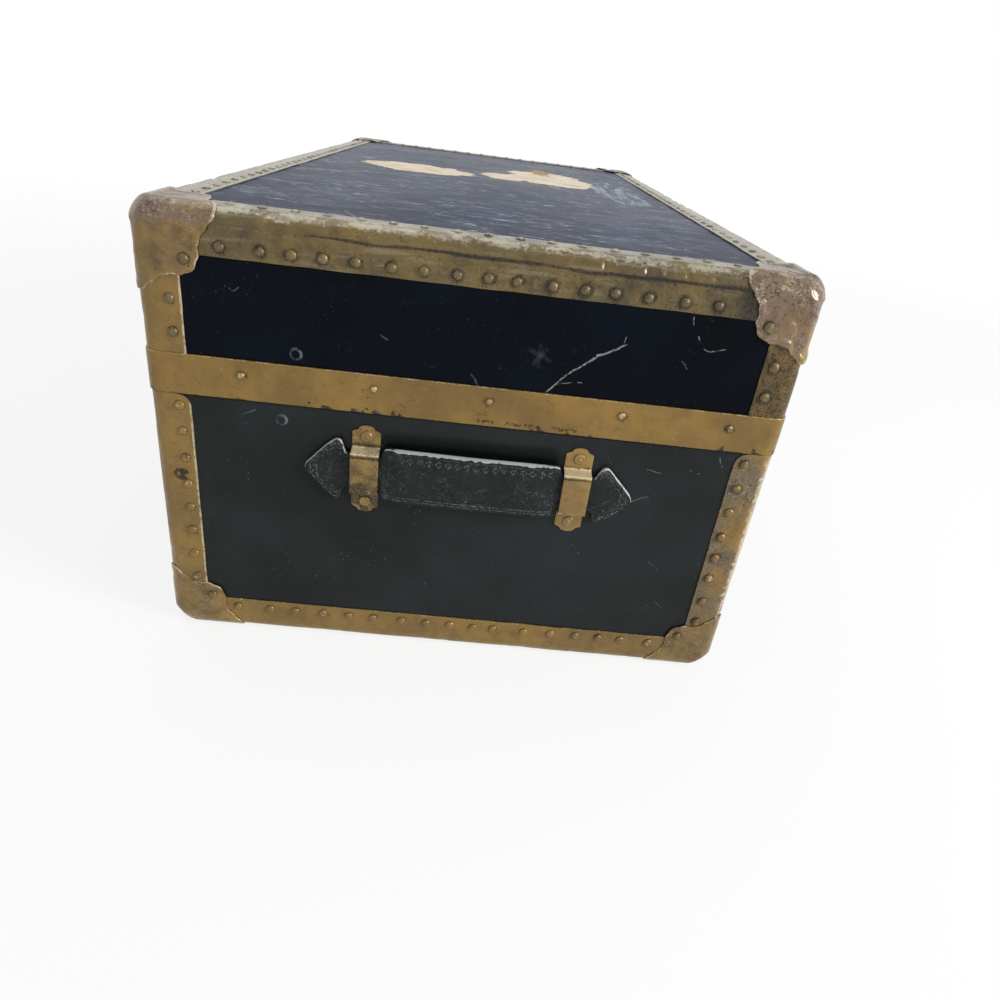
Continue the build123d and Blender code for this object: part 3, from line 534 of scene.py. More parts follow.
def flat_nails(z, up):
    """The nails that are driven up or down, through the flat leaves of the bindings."""
    spots = []
    for side in (-1, 1):
        spots += [(Vector((x, side * (HALF.y - FLAT_INSET), z)), up * Z) for x in LONG_ROW]
        spots += [(Vector((side * (HALF.x - FLAT_INSET), y, z)), up * Z) for y in SHORT_ROW]
    return spots


def cap_nails(z):
    """One nail in each upright leaf of the four caps at a level."""
    spots = []
    for side_x, side_y in CORNERS.values():
        spots.append((Vector((side_x * (HALF.x - CAP_INSET), side_y * (HALF.y + CAP_PROUD), z)),
                      side_y * Y))
        spots.append((Vector((side_x * (HALF.x + CAP_PROUD), side_y * (HALF.y - CAP_INSET), z)),
                      side_x * X))
    return spots


# %% Dark rings round the nails
lid_spots = wall_nails(LID_NAIL_Z, LONG_ROW, SHORT_ROW, TOP_ROW_RIGHT)
lid_spots += upright_nails(LID_LEVELS) + cap_nails(LID_CAP_NAIL_Z)
base_spots = wall_nails(BASE_NAIL_Z, LONG_ROW, SHORT_ROW, LOW_ROW_RIGHT)
base_spots += upright_nails(BASE_LEVELS) + cap_nails(BASE_CAP_NAIL_Z)
band_spots = wall_nails(BAND_NAIL_Z, BAND_LONG_ROW, spread(HALF.y - ROW_START, 5), BAND_ROW_RIGHT,
                        BAND_PROUD)
top_spots = flat_nails(TOP, 1)
every_spot = lid_spots + base_spots + band_spots + top_spots
nail_tree = kdtree.KDTree(len(every_spot))
for number, (spot, outward) in enumerate(every_spot):
    nail_tree.insert(spot, number)
nail_tree.balance()


def dark_ring_round_head(point):
    """1 right beside a nail head and 0 three millimetres off, thicker on some sides than on others."""
    gap = nail_tree.find(point)[2]
    uneven = 0.65 + 0.9 * lumps(point, 0.006, 17)
    return max(0.0, min(1.0, uneven)) * (1 - soft_step(gap, NAIL_HEAD, NAIL_HEAD + 0.0028))


print(len(every_spot), "nails, each with its dirt")


# %% [markdown]
# ## Edge bindings
# Twelve edges, twelve strips. The four along the top of the lid have a rolled edge. On the
# right-hand end it stands a millimetre proud of the flange, with a crease under it that wanders
# where the steel has been knocked. The uprights are plain angle strips, and the ones on the base
# have one rounded corner where they meet the lid.

# %% Wear and painted light along the edges
FLANGE = 0.027
ROLL = 0.0085
DEEPEST_DENT = 0.0014
BLACK_CHIP = Vector((0.384, -0.1885, 0.1285))
LOW_BINDING = 0.04
# Each pair says where a mark begins and where it is full, in metres; some are wear, some painted light.
TOP_FACE, ROLL_RANGE, UNDER_ROLL = (0.2955, 0.2995), (0.288, 0.298), (0.262, 0.275)
NEAR_END, RIGHT_UPRIGHT = (0.335, 0.355), (0.170, 0.180)
CUT_EDGE = (0.0252, 0.0262)


def reach_from_edge(point):
    """How far a point of the surface lies from the nearest edge of the block."""
    inset = sorted(max(0.0, h - abs(c)) for c, h in zip(point - MIDDLE, HALF))
    return inset[1]


def edge_of_roll(point):
    """How far the crease under the roll lies from the edge; it wanders along the strip."""
    spine_x = point.x if abs(point.x) < HALF.x - FLANGE else HALF.x
    return ROLL + 0.0015 * lumps(Vector((spine_x, point.y, TOP)), 0.022, 6)


def binding_wear_and_light(point):
    """Lightened on roll, corners, cut edge and top faces, partly as painted highlight; painted shade in the
    crease; darker round nails; browned in places.
    """
    reach = reach_from_edge(point)
    on_top = soft_step(point.z, *TOP_FACE)
    on_roll = soft_step(point.z, *ROLL_RANGE) * (1 - soft_step(reach, ROLL - 0.001, ROLL + 0.001))
    under_roll = soft_step(point.z, *UNDER_ROLL)
    near_end = soft_step(point.x, *NEAR_END)
    on_right_upright = soft_step(point.y, *RIGHT_UPRIGHT) * near_end
    on_low_upright = on_right_upright * (1 - soft_step(point.z, SEAM - 0.002, SEAM))
    # The cut edge is lightened partly as wear and partly as a painted highlight where it catches the light.
    cut_edge = soft_step(reach, *CUT_EDGE) * (0.55 if point.z < LOW_BINDING else 1.0)
    cut_edge *= 1 - 0.7 * on_right_upright
    worn_off = max(0.0, lumps(point, 0.012, 18))

    lightened = 0.2 * (1 - soft_step(reach, 0.003, 0.010)) + (0.6 - 0.4 * under_roll) * cut_edge
    lightened += on_roll * 0.14 * worn_off
    # Top faces are lightened as wear and as a painted reflection of the sky they face, less at the near
    # end.
    lightened += on_top * (0.5 - (0.12 - 0.3 * lumps(point, 0.02, 70)) * soft_step(point.x, 0.345, 0.36))
    # A pale band along the upper roll: partly wear, partly a painted highlight.
    crest = ridge(point.z, 0.2965, 0.0022) * (1 - on_top)
    lightened += 0.12 * crest * max(0.0, 0.7 + lumps(point, 0.03, 66))
    # The lower right upright: a little wear all over, and a painted highlight along its outer edge.
    lightened += on_low_upright * (0.10 + 0.34 * (1 - soft_step(HALF.y - point.y, 0.0, 0.013)))

    # Painted shade along the crease under the roll, broken up by noise.
    crease = ridge(reach - edge_of_roll(point), 0.0012, 0.0008) * soft_step(point.z, 0.284, 0.287)
    crease *= (1 - on_top) * soft_step(point.y, -0.16, -0.06)
    darkened = crease * max(0.0, 0.8 + 0.9 * lumps(point, 0.05, 15))
    darkened += (0.28 if point.z < SEAM else 0.45) * dark_ring_round_head(point)
    darkened += 0.3 * on_roll * max(0.0, lumps(point, 0.012, 19))
    darkened += (0.15 + 0.11 * soft_step(point.y, -0.08, 0.05)) * under_roll * (1 - on_roll)
    darkened += 0.40 * soft_step(point.y, 0.146, 0.162) * soft_step(point.z, 0.205, 0.212) * near_end
    darkened += 0.10 * on_right_upright + 0.14 * max(0.0, 0.6 + lumps(point, 0.02, 67)) * on_low_upright
    chip = 1 - soft_step((point - BLACK_CHIP).length, 0.002, 0.0065)
    darkened += 1.4 * chip * max(0.0, 0.7 + 1.6 * lumps(point, 0.003, 27))

    greyed = 0.55 * max(0.0, 0.75 + 0.9 * lumps(point, 0.03, 68)) * on_low_upright
    browned = 0.3 * on_roll * worn_off + 0.25 * max(0.0, lumps(point, 0.05, 3)) + greyed
    return lightened, darkened, browned


def dents(point, rolled):
    """Broad waves everywhere, and on the rolled edge small knocks and short folds across it."""
    wave = 0.00022 * lumps(point, 0.035) + 0.00012 * lumps(point, 0.011, 2)
    knocks = -0.0040 * max(0.0, lumps(point, 0.014, 5) - 0.26)
    knocks -= 0.0022 * max(0.0, lumps(point, 0.007, 9) - 0.22)
    across = Vector((point.x, point.y, 0.25 * point.z))
    folded = soft_step(lumps(across, 0.05, 24), 0.0, 0.25)
    fold = -0.0009 * ridge(lumps(across, 0.018, 23), 0, 0.06) * folded
    return max(-DEEPEST_DENT, wave + (knocks + fold) * rolled)


# %% One strip
FINE, COARSE = 0.0014, 0.005
NEAT_ROUND = 0.009
TUCKED_IN = 0.0001


def binding_strip(corner, along, first, second, start, stop, step, roll_rise=0.0, neat_end=None):
    """A folded strip on the edge through corner; first and second point inwards along its two faces."""
    rolled = roll_rise > 0

    def place(u, v):
        run = start + (stop - start) * u
        across = 0.6 * (2 * v - 1) + 0.4 * math.sin(math.pi * (v - 0.5))
        spine = corner + along * run
        reach = FLANGE + 0.00035 * lumps(spine, 0.02, 4 if across > 0 else 8)
        if neat_end:
            left = max(0.0, NEAT_ROUND - (neat_end - run))
            reach -= NEAT_ROUND - math.sqrt(max(0.0, NEAT_ROUND ** 2 - left ** 2))
        flat = abs(across) * reach
        sharp = spine + (second if across > 0 else first) * flat
        limit = edge_of_roll(spine) if rolled else ROLL
        on_roll = 1 - soft_step(flat, limit - 0.0006, limit + 0.0008)
        crease = -0.00035 * ridge(flat - limit, 0.001, 0.0009) if rolled else 0.0
        knocked = on_roll if rolled else 0.25
        open_run = 1.0 if neat_end else soft_step(min(run - start, stop - run), 0.012, 0.022)
        proud = roll_rise * on_roll + (crease + dents(sharp, knocked)) * open_run
        proud -= TUCKED_IN * (1 - open_run)
        return on_block(sharp, min(proud, max(0.0003, roll_rise)))

    columns = max(2, round((stop - start) / step))
    sheet = bent_sheet(columns, 66 if step < COARSE else 44, place)
    face_outwards(sheet, MIDDLE)
    mark_amounts(sheet, binding_wear_and_light)
    return sheet


# %% Lay the strips on the edges
UNDER_CAP = 0.030
UNDER_BAND = 0.002
ROLL_RISE = {"right": 0.001, "left": 0.0003, "front": 0.0003, "back": 0.0003}
SIDES = {
    "front": (Vector((0, -HALF.y, 0)), X, Y, HALF.x),
    "back": (Vector((0, HALF.y, 0)), X, -Y, HALF.x),
    "left": (Vector((-HALF.x, 0, 0)), Y, X, HALF.y),
    "right": (Vector((HALF.x, 0, 0)), Y, -X, HALF.y),
}

for side, (foot, along, inward, half_run) in SIDES.items():
    step = FINE if side == "right" else COARSE
    run = half_run - UNDER_CAP
    upper = binding_strip(foot + Z * TOP, along, -Z, inward, -run, run, step, ROLL_RISE[side])
    finished(f"lid_{side}_binding_steel", upper, "lid", rolled_brass,
             [f"lid_{side}_binding"], SHEET, SOFT_CUT)
    lower = binding_strip(foot + Z * BOTTOM, along, Z, inward, -run, run, step)
    finished(f"base_{side}_binding_steel", lower, "base", edge_brass,
             [f"base_{side}_binding"], SHEET, SOFT_CUT)
    print(side, "strips:", round(2 * run / MM), "mm")


def joined(name, shapes):
    """Several bmeshes of one kind put together as one."""
    whole = bmesh.new()
    for shape in shapes:
        part = bpy.data.meshes.new(name)
        shape.to_mesh(part)
        shape.free()
        whole.from_mesh(part)
        bpy.data.meshes.remove(part)
    return whole


lid_uprights, base_uprights = [], []
for side_x, side_y in CORNERS.values():
    corner = Vector((side_x * HALF.x, side_y * HALF.y, 0))
    inwards = (-side_y * Y, -side_x * X)
    step = FINE if side_x > 0 else COARSE
    lid_uprights.append(binding_strip(corner, Z, *inwards, BAND_TOP - UNDER_BAND, TOP - UNDER_CAP, step))
    base_uprights.append(binding_strip(corner, Z, *inwards, BOTTOM + UNDER_CAP, SEAM, step, neat_end=SEAM))
for half_name, uprights in (("lid", lid_uprights), ("base", base_uprights)):
    steel = joined(f"{half_name}_uprights", uprights)
    finished(f"{half_name}_uprights_steel", steel, half_name, edge_brass,
             [f"{half_name}_corner_bindings"], SHEET, SOFT_CUT)
    print(half_name, "uprights:", len(uprights))


# %% [markdown]
# ## The band
# One flat strip goes round the foot of the lid and closes at the back. It is the same idea again,
# with the grid's long side following the block's outline instead of one edge.

# %% Band
BAND_STEEL, BAND_HALF_GAP, BAND_LIMIT = 0.0016, 0.0005, 0.00095


def round_the_trunk(share, z):
    """A point on the sharp outline, walked round from the middle of the back."""
    corners = [(HALF.x, HALF.y), (HALF.x, -HALF.y), (-HALF.x, -HALF.y), (-HALF.x, HALF.y)]
    corners = [(BAND_HALF_GAP, HALF.y), *corners, (-BAND_HALF_GAP, HALF.y)]
    stops = [Vector((x, y, z)) for x, y in corners]
    lengths = [(b - a).length for a, b in zip(stops, stops[1:])]
    left = share * sum(lengths)
    for a, b, length in zip(stops, stops[1:], lengths):
        if left <= length + 1e-9:
            return a + (b - a) * (left / length)
        left -= length
    return stops[-1]


def band_place(u, v):
    z = LID_FOOT + (BAND_TOP - LID_FOOT) * (0.5 - 0.5 * math.cos(math.pi * v))
    sharp = round_the_trunk(u, z)
    proud = BAND_PROUD + 0.00018 * lumps(sharp, 0.06, 11) - 0.0005 * max(0.0, lumps(sharp, 0.02, 12) - 0.5)
    return on_block(sharp, min(proud, BAND_LIMIT))


def band_wear(point):
    """A thin rubbed line along its upper edge, dirt along the lower one, and a rubbed corner."""
    up, down = point.z - LID_FOOT, BAND_TOP - point.z
    corner = 1 - soft_step(reach_from_edge(point), 0.004, 0.012)
    lightened = 0.5 * (1 - soft_step(down, 0.0003, 0.0012)) + 0.12 * corner
    flecks = soft_step(lumps(point, 0.0035, 14), 0.1, 0.4) * soft_step(lumps(point, 0.04, 16), -0.1, 0.2)
    darkened = 0.35 * (1 - soft_step(up, 0.0003, 0.0012)) + 0.9 * flecks * (1 - soft_step(up, 0.003, 0.005))
    return lightened, darkened + 0.5 * dark_ring_round_head(point), 0.04


band = bent_sheet(1100, 18, band_place)
face_outwards(band, MIDDLE)
mark_amounts(band, band_wear)
finished("lid_band_steel", band, "lid", band_brass, ["lid_band"], BAND_STEEL, SOFT_CUT)
print("band is", round((BAND_TOP - LID_FOOT) / MM, 1), "mm high")


# %% [markdown]
# ## Corner caps
# A pressed cap has three lobed leaves that meet at the corner. It starts as a cube corner: a cube
# loses the three faces that look into the trunk, the other three are cut into squares, and every
# point is moved out along its own angle until the square's outline becomes the lobed one. Then the
# shared block rounds its edges.

# %% Caps
LEAF = [(0, 50.5), (6, 50.5), (14, 46.8), (22, 44.3), (29, 45.3), (37, 49), (45, 51), (53, 49),
        (61, 45.3), (68, 44.3), (76, 46.8), (84, 50.5), (90, 50.5)]


def between(table, value):
    """Reads a table of (where, amount) pairs, with a smooth passage from each pair to the next."""
    for (a, low), (b, high) in zip(table, table[1:]):
        if value <= b:
            return low + (high - low) * soft_step(value, a, b)
    return table[-1][1]


def leaf_reach(angle, seed, ragged):
    """How far the leaf's outline lies from the corner, in metres, at an angle in degrees."""
    return MM * (between(LEAF, angle) + ragged * noise.noise(Vector((angle / 24, seed, 0.3))))


def cap_wear_and_light(point, share, up, worn):
    """Lightened along its rim, as wear and as a painted highlight; browned and scratched where it faces up,
    most of all if battered.
    """
    # The rim is lightened as wear, and brighter at the front and on the base caps as a painted highlight.
    rim = soft_step(share, 0.965, 0.985) * (1.0 if point.y < 0 else 0.7) * (1.0 if up > 0 else 1.3)
    edge = 1 - soft_step(reach_from_edge(point), 0.003, 0.014)
    high = soft_step(point.z, 0.279, 0.2965) if up > 0 else 0.0
    patchy = max(0.0, lumps(point, 0.009, 61))
    battered = max(0.0, worn - 1.0) / 0.35
    patch = soft_step(lumps(point, 0.016, 64), 0.05, 0.3) * min(1.0, worn) * (1 if up > 0 else 0)
    lightened = 0.12 + 0.14 * edge * worn + 0.6 * rim * (0.6 + lumps(point, 0.012, 63))
    lightened += 0.25 * high * patchy * worn + 0.2 * battered * patchy
    darkened = 0.06 + 0.12 * high + 0.25 * battered * max(0.0, lumps(point, 0.006, 62))
    darkened += 0.35 * dark_ring_round_head(point)
    golden = battered * soft_step(point.y, 0.196, 0.204) * (1 - soft_step(point.z, 0.268, 0.276))
    browned = 0.02 + 0.5 * high + 0.25 * patch + 0.5 * battered - 0.5 * golden
    return lightened, darkened, browned * min(1.0, worn)


def corner_cap(side_x, side_y, up, seed, worn):
    """The cap of one corner, above or below, more or less knocked about."""
    cap = bmesh.new()
    bmesh.ops.create_cube(cap, size=1.0, matrix=Matrix.Translation((0.5, 0.5, 0.5)))
    inner = [f for f in cap.faces if max(f.calc_center_median()) > 0.9]
    bmesh.ops.delete(cap, geom=inner, context="FACES")
    bmesh.ops.subdivide_edges(cap, edges=cap.edges[:], cuts=45 if worn > 0.9 else 31, use_grid_fill=True)
    corner = Vector((side_x * HALF.x, side_y * HALF.y, TOP if up > 0 else BOTTOM))
    towards = (-side_x * X, -side_y * Y, -up * Z)
    rolled = up > 0
    layer = cap.verts.layers.float_color.new("wear")
    for point in cap.verts:
        amounts = list(point.co)
        flat = amounts.index(min(amounts))
        a, b = (flat + 1) % 3, (flat + 2) % 3
        share = max(amounts[a], amounts[b])
        if share > 0:
            angle = math.degrees(math.atan2(amounts[b], amounts[a]))
            reach = share * leaf_reach(angle, seed + flat, 1.0 if rolled else 0.4)
            amounts[a] = reach * math.cos(math.radians(angle))
            amounts[b] = reach * math.sin(math.radians(angle))
        amounts[flat] = 0.0
        sharp = corner + sum((t * d for t, d in zip(amounts, towards)), Vector())
        to_top_edge = max(abs(sharp.z - corner.z), min(amounts[0], amounts[1]))
        roll = (1 - soft_step(to_top_edge, 0.0108, 0.0135)) if rolled else 0.0
        wave = 0.0004 * lumps(sharp, 0.02, seed) + 0.00022 * lumps(sharp, 0.007, seed + 2)
        knocks = -0.0034 * max(0.0, lumps(sharp, 0.012, seed + 4) - 0.22)
        lowest = 0.00035 + 0.00075 * roll if share > 0.5 else -0.0005
        lip = 0.0012 * max(0.0, worn - 0.6) * soft_step(share, 0.88, 0.94)
        limit = 0.002 if rolled else 0.001
        proud = 0.001 * (1 + roll) + lip + (wave + knocks) * worn
        point.co = on_block(sharp, max(lowest, min(proud, limit)))
        point[layer] = (*cap_wear_and_light(point.co, share, up, worn), 1.0)
    face_outwards(cap, MIDDLE)
    return cap


# %% Press the eight caps
SOFT_RIM = 0.00025
UNWORN = 0.45
WORN = {("front_right", 1): 1.0, ("back_right", 1): 1.35, ("front_left", 1): 1.0, ("back_left", 1): 1.1}
for order, (place_name, (side_x, side_y)) in enumerate(CORNERS.items()):
    for half_name, up in (("lid", 1), ("base", -1)):
        cap = corner_cap(side_x, side_y, up, 3.1 * order + up, WORN.get((place_name, up), UNWORN))
        finished(f"{half_name}_cap_{place_name}", cap, half_name, cap_brass,
                 [f"{half_name}_corner_cap_{place_name}"], SHEET, SOFT_RIM)
print("caps reach", max(r for angle, r in LEAF), "mm from their corners")


# %% [markdown]
# ## Nails
# There are so many nails that each dome has only a few dozen faces. One flattened sphere is cut in
# half, closed, and copied to every place with a slightly different size and lean. Most heads have
# lost a fleck of paint, so one point near the crown of each is marked dark. A rivet's head is made
# beside it: a disc whose points are raised to follow a profile, read from the middle outwards.

# %% A nail
dome = bmesh.new()
bmesh.ops.create_uvsphere(dome, u_segments=12, v_segments=8, radius=1.0)
bmesh.ops.bisect_plane(dome, geom=dome.verts[:] + dome.edges[:] + dome.faces[:], plane_co=(0, 0, -0.02),
                       plane_no=(0, 0, 1), clear_inner=True)
bmesh.ops.holes_fill(dome, edges=[e for e in dome.edges if e.is_boundary], sides=0)
dome_mesh = bpy.data.meshes.new("nail_dome")
dome.to_mesh(dome_mesh)
dome.free()

RIVET_PROFILE = [(0, 1.0), (0.3, 0.95), (0.42, 0.62), (0.54, 0.66), (0.7, 0.84), (0.86, 0.7),
                 (0.96, 0.35), (1.01, 0.0)]
rivet = bmesh.new()
bmesh.ops.create_circle(rivet, cap_ends=True, cap_tris=True, segments=20, radius=1.0)
spokes = [e for e in rivet.edges if min(v.co.length for v in e.verts) < 0.01]
bmesh.ops.subdivide_edges(rivet, edges=spokes, cuts=14, use_grid_fill=True)
for point in rivet.verts:
    distance = point.co.length
    point.co.z = next(low + (high - low) * (distance - a) / (b - a)
                      for (a, low), (b, high) in zip(RIVET_PROFILE, RIVET_PROFILE[1:]) if distance <= b)
rivet_mesh = bpy.data.meshes.new("rivet_head")
rivet.to_mesh(rivet_mesh)
rivet.free()


def drive_nails(name, spots, radius, height, body, finish, replaced, wear=(0.3, 0.1, 0.1), jitter=0.0004,
                head=dome_mesh):
    """One head at each (point, outward direction), all as one piece."""
    nails = bmesh.new()
    layer = nails.verts.layers.float_color.new("wear")
    for spot, outward in spots:
        size = radius * random.uniform(0.94, 1.05)
        lean = Vector([random.uniform(-0.05, 0.05) for _ in range(3)])
        nudge = Vector([random.uniform(-jitter, jitter) for _ in range(3)])
        nudge -= outward * nudge.dot(outward)
        turn = (outward + lean).to_track_quat("Z", "Y").to_matrix().to_4x4()
        scale = Matrix.Diagonal((size, size, height * random.uniform(0.85, 1.0), 1))
        first = len(nails.verts)
        nails.from_mesh(head)
        nails.verts.ensure_lookup_table()
        new = nails.verts[first:]
        lightened, darkened, browned = [max(0.0, amount + random.uniform(-0.15, 0.15)) for amount in wear]
        # Heads that face up are lightened more: partly wear, partly a painted reflection of the sky.
        lightened += 0.7 * max(0.0, outward.z)
        for point in new:
            top = max(0.0, point.co.z)
            point[layer] = (lightened * top, darkened + 0.3 * (1 - top), browned, 1)
        fleck = random.choice([point for point in new if point.co.z > 0.7])
        fleck[layer] = (0, random.uniform(0.2, 1.0), 0, 1)
        bmesh.ops.transform(nails, matrix=Matrix.Translation(spot + nudge) @ turn @ scale, verts=new)
    print(name, len(spots))
    finished(name, nails, body, finish, replaced, crease=0)


# %% Drive them
TOP_NAIL_SINK = 0.0009
FLAT_RISE, BAND_HEAD, BAND_RISE = 0.0006, 0.0028, 0.0020
sunk = [(spot - Z * TOP_NAIL_SINK, outward) for spot, outward in top_spots]
drive_nails("lid_nails", lid_spots + sunk, NAIL_HEAD, NAIL_RISE, "lid", nail_brass,
            ["lid_binding_nails"], wear=(0.2, 0.2, 0.1))
drive_nails("base_nails", base_spots, NAIL_HEAD, NAIL_RISE, "base", edge_brass,
            ["base_binding_nails"], wear=(0.3, 0.12, 0.05))
drive_nails("underside_flat_nails", flat_nails(BOTTOM, -1), NAIL_HEAD, FLAT_RISE, "base", nail_brass,
            ["underside_nails"], jitter=0.0002)
drive_nails("band_nails", band_spots, BAND_HEAD, BAND_RISE, "lid", edge_brass,
            ["lid_band_nails"], wear=(0.5, 0.1, 0.0))

# %% [markdown]
# ## Black enamelled sheet
# The covering is thin steel under glossy black enamel. A flat sheet of it is never quite flat, and
# that shows only in what it reflects, so each panel is a fine grid with waves of a fifth of a
# millimetre. Two nail heads under the paint of the right-hand end are raised in the grid too. Dust,
# rubbing and each long scratch are mixed into the finish.

# %% Enamel
PANEL_X = 0.383
PAINTED_NAILS = [Vector((PANEL_X, -0.111, 0.220)), Vector((PANEL_X, -0.121, 0.175))]


def polyline(finish, points, width, place=None):
    """Strokes from point to point, as one mask."""
    return finish.either(*[finish.stroke(a, b, width, place) for a, b in zip(points, points[1:])])


def on_right_end(*pairs):
    """Points of the right-hand panel from (y, z) pairs in millimetres."""
    return [Vector((PANEL_X, y * MM, z * MM)) for y, z in pairs]


def enamel(name, black, haze, gloss, specular, scratches, rub_grain=(1, 1, 1), rubs=0.12, hairs=0.3,
           rub_share=0.66, dusts=0.35, put=on_right_end):
    """Black paint with a grey haze, dust, short rubs that run one way, and scratches in their places."""
    finish = Finish(name, specular=specular)
    cloud = finish.noise(9, 4, 0.6)
    dust = finish.noise(620, 2, 0.5)
    dust_field = finish.noise(34, 3, 0.6, shift=(0.3, 0.1, 0))
    rub = finish.noise(230, 4, 0.7, stretch=rub_grain)
    rub_field = finish.noise(14, 3, 0.5, shift=(0.7, 0.2, 0.4))
    finish.ground(finish.mask(cloud, 0.35, 0.75), black, haze)
    dusty = finish.both(finish.mask(dust, 0.68, 0.76), finish.mask(dust_field, 0.4, 0.75))
    finish.coat(dusty, dusts, (150, 156, 162))
    lightened = finish.both(finish.mask(rub, rub_share, rub_share + 0.14), finish.mask(rub_field, 0.45, 0.7))
    finish.coat(lightened, rubs, (170, 178, 190))
    hair = hairlines(finish, (40, (1, 1, 1), (0.6, 0.3, 0), 0.0016, 24, 0.58),
                     (60, (1, 1, 0.4), (0.1, 0.8, 0.2), 0.0016, 30, 0.6))
    finish.coat(hair, hairs, (150, 156, 162))
    marked = lightened
    wobble = finish.node("TexNoise", {"Vector": finish.where, "Scale": 90.0, "Detail": 3.0})
    centred = finish.vector("SUBTRACT", wobble.outputs["Color"], (0.5, 0.5, 0.5))
    small = finish.node("VectorMath", {0: centred, "Scale": 0.004}, operation="SCALE").outputs[0]
    place = finish.vector("ADD", finish.where, small)
    for points, width, strength in scratches:
        line = finish.both(polyline(finish, put(*points), width, place),
                           finish.mask(finish.noise(420, 3), 0.3, 0.5))
        finish.coat(line, strength, (182, 186, 190))
        marked = finish.either(marked, line)
    # A pale ring round each nail head under the paint: a painted highlight on its raised rim, with some
    # wear.
    for nail in PAINTED_NAILS:
        gap = finish.vector("DISTANCE", finish.where, tuple(nail))
        ring = finish.both(finish.mask(gap, 0.0026, 0.0034),
                           finish.inverse(finish.mask(gap, 0.0036, 0.0044)))
        finish.coat(ring, finish.mask(rub, 0.4, 0.55), (92, 98, 104))
    rough = finish.math("ADD", finish.both(cloud, 0.16), gloss - 0.05)
    rough = finish.math("ADD", rough, finish.both(marked, 0.3))
    relief = finish.bump(finish.noise(45, 2), 0.0003)
    return finish, rough, relief


LID_END_SCRATCHES = [
    ([(45, 213), (53, 221), (62, 230), (74, 240), (84, 245), (91, 249.5)], 0.0011, 0.52),
    ([(52, 219), (60, 221), (68, 222.5)], 0.0006, 0.35),
    ([(88, 247), (90, 254)], 0.0006, 0.35),
    ([(134, 259), (137, 253), (144, 250), (152, 253)], 0.0006, 0.4),
    ([(128, 271), (130, 262)], 0.0006, 0.35),
    ([(127, 243), (131, 238)], 0.0006, 0.3),
    ([(33, 239), (45, 234)], 0.0030, 0.03),
    ([(36, 231), (42, 241)], 0.0028, 0.03),
    ([(39, 229), (38, 243)], 0.0024, 0.02),
    ([(-3, 219), (4, 212)], 0.0010, 0.15),
    ([(-152, 257), (-148, 254), (-144, 257)], 0.0008, 0.2),
    ([(-60, 238), (-56, 236)], 0.0008, 0.15),
]
finish, rough, relief = enamel("lid_enamel", (6, 9, 14), (10, 17, 28), 0.2, 0.05, LID_END_SCRATCHES,
                               rubs=0.18, hairs=0.08, dusts=0.15)
lid_enamel = finish.done(rough, relief)

BASE_END_SCRATCHES = [
    ([(150, 169), (157, 167)], 0.0008, 0.18),
    ([(168, 180), (171, 174)], 0.0008, 0.22),
    ([(122, 167), (131, 165)], 0.0008, 0.22),
    ([(114, 141), (126, 146)], 0.0012, 0.16),
    ([(-146, 176), (-138, 180)], 0.0010, 0.14),
    ([(138, 95), (146, 88)], 0.0012, 0.06),
    ([(150, 60), (157, 54)], 0.0008, 0.08),
]
finish, rough, relief = enamel("base_enamel", (28, 31, 31), (38, 42, 43), 0.34, 0.14, BASE_END_SCRATCHES,
                               rub_grain=(0.25, 0.25, 1), hairs=0.12)
# A painted shadow: the panel just above the grip is painted near black where the handle shades it.
painted_shadow_above_grip = polyline(finish, on_right_end((-52, 167), (0, 167.5), (56, 168)), 0.013)
finish.coat(painted_shadow_above_grip, 0.9, (5, 6, 7))
base_enamel = finish.done(rough, relief)


# %% [markdown]
# ## The lid's top
# The top has taken the most: fine scratches by the hundred, a pale rub along the back, one long
# white scratch, and places where an old paper label has torn away and left its cream backing. A
# label's edge is ragged, so each remnant is an oval whose outline is pushed in and out by noise.

# %% Top enamel and torn paper
def ragged_oval(finish, middle, half_x, half_y, ragged, scale, shift=0.0):
    """1 inside an oval on the lid's top whose outline is pushed about by noise."""
    off = finish.vector("SUBTRACT", finish.where, middle)
    sized = finish.vector("MULTIPLY", off, (1 / half_x, 1 / half_y, 1))
    radius = finish.vector("LENGTH", sized)
    torn = finish.math("SUBTRACT", finish.noise(scale, 6, 0.65, shift=(shift, 0, 0)), 0.5)
    return finish.inverse(finish.ragged(radius, torn, ragged, 0.95, 1.0))


ON_TOP = 0.2995


def on_lid_top(*pairs):
    """Points of the lid's top from (x, y) pairs in millimetres."""
    return [Vector((x * MM, y * MM, ON_TOP)) for x, y in pairs]


TOP_SCRATCHES = [
    ([(109, -162), (72, -118), (40, -70)], 0.0032, 0.7),
    ([(255, -120), (262, -60)], 0.0016, 0.5),
    ([(300, -140), (318, -100)], 0.0014, 0.5),
    ([(225, -150), (235, -90)], 0.0016, 0.4),
    ([(330, -92), (352, -80)], 0.0014, 0.6),
    ([(322, -46), (350, -60)], 0.0012, 0.5),
]
# The navy of the top is partly a painted reflection of the sky; the enamel itself is near black.
finish, rough, relief = enamel("top_enamel", (8, 15, 31), (15, 27, 50), 0.22, 0.006, TOP_SCRATCHES,
                               rub_grain=(1.0, 0.3, 1), rubs=0.85, rub_share=0.57, put=on_lid_top)
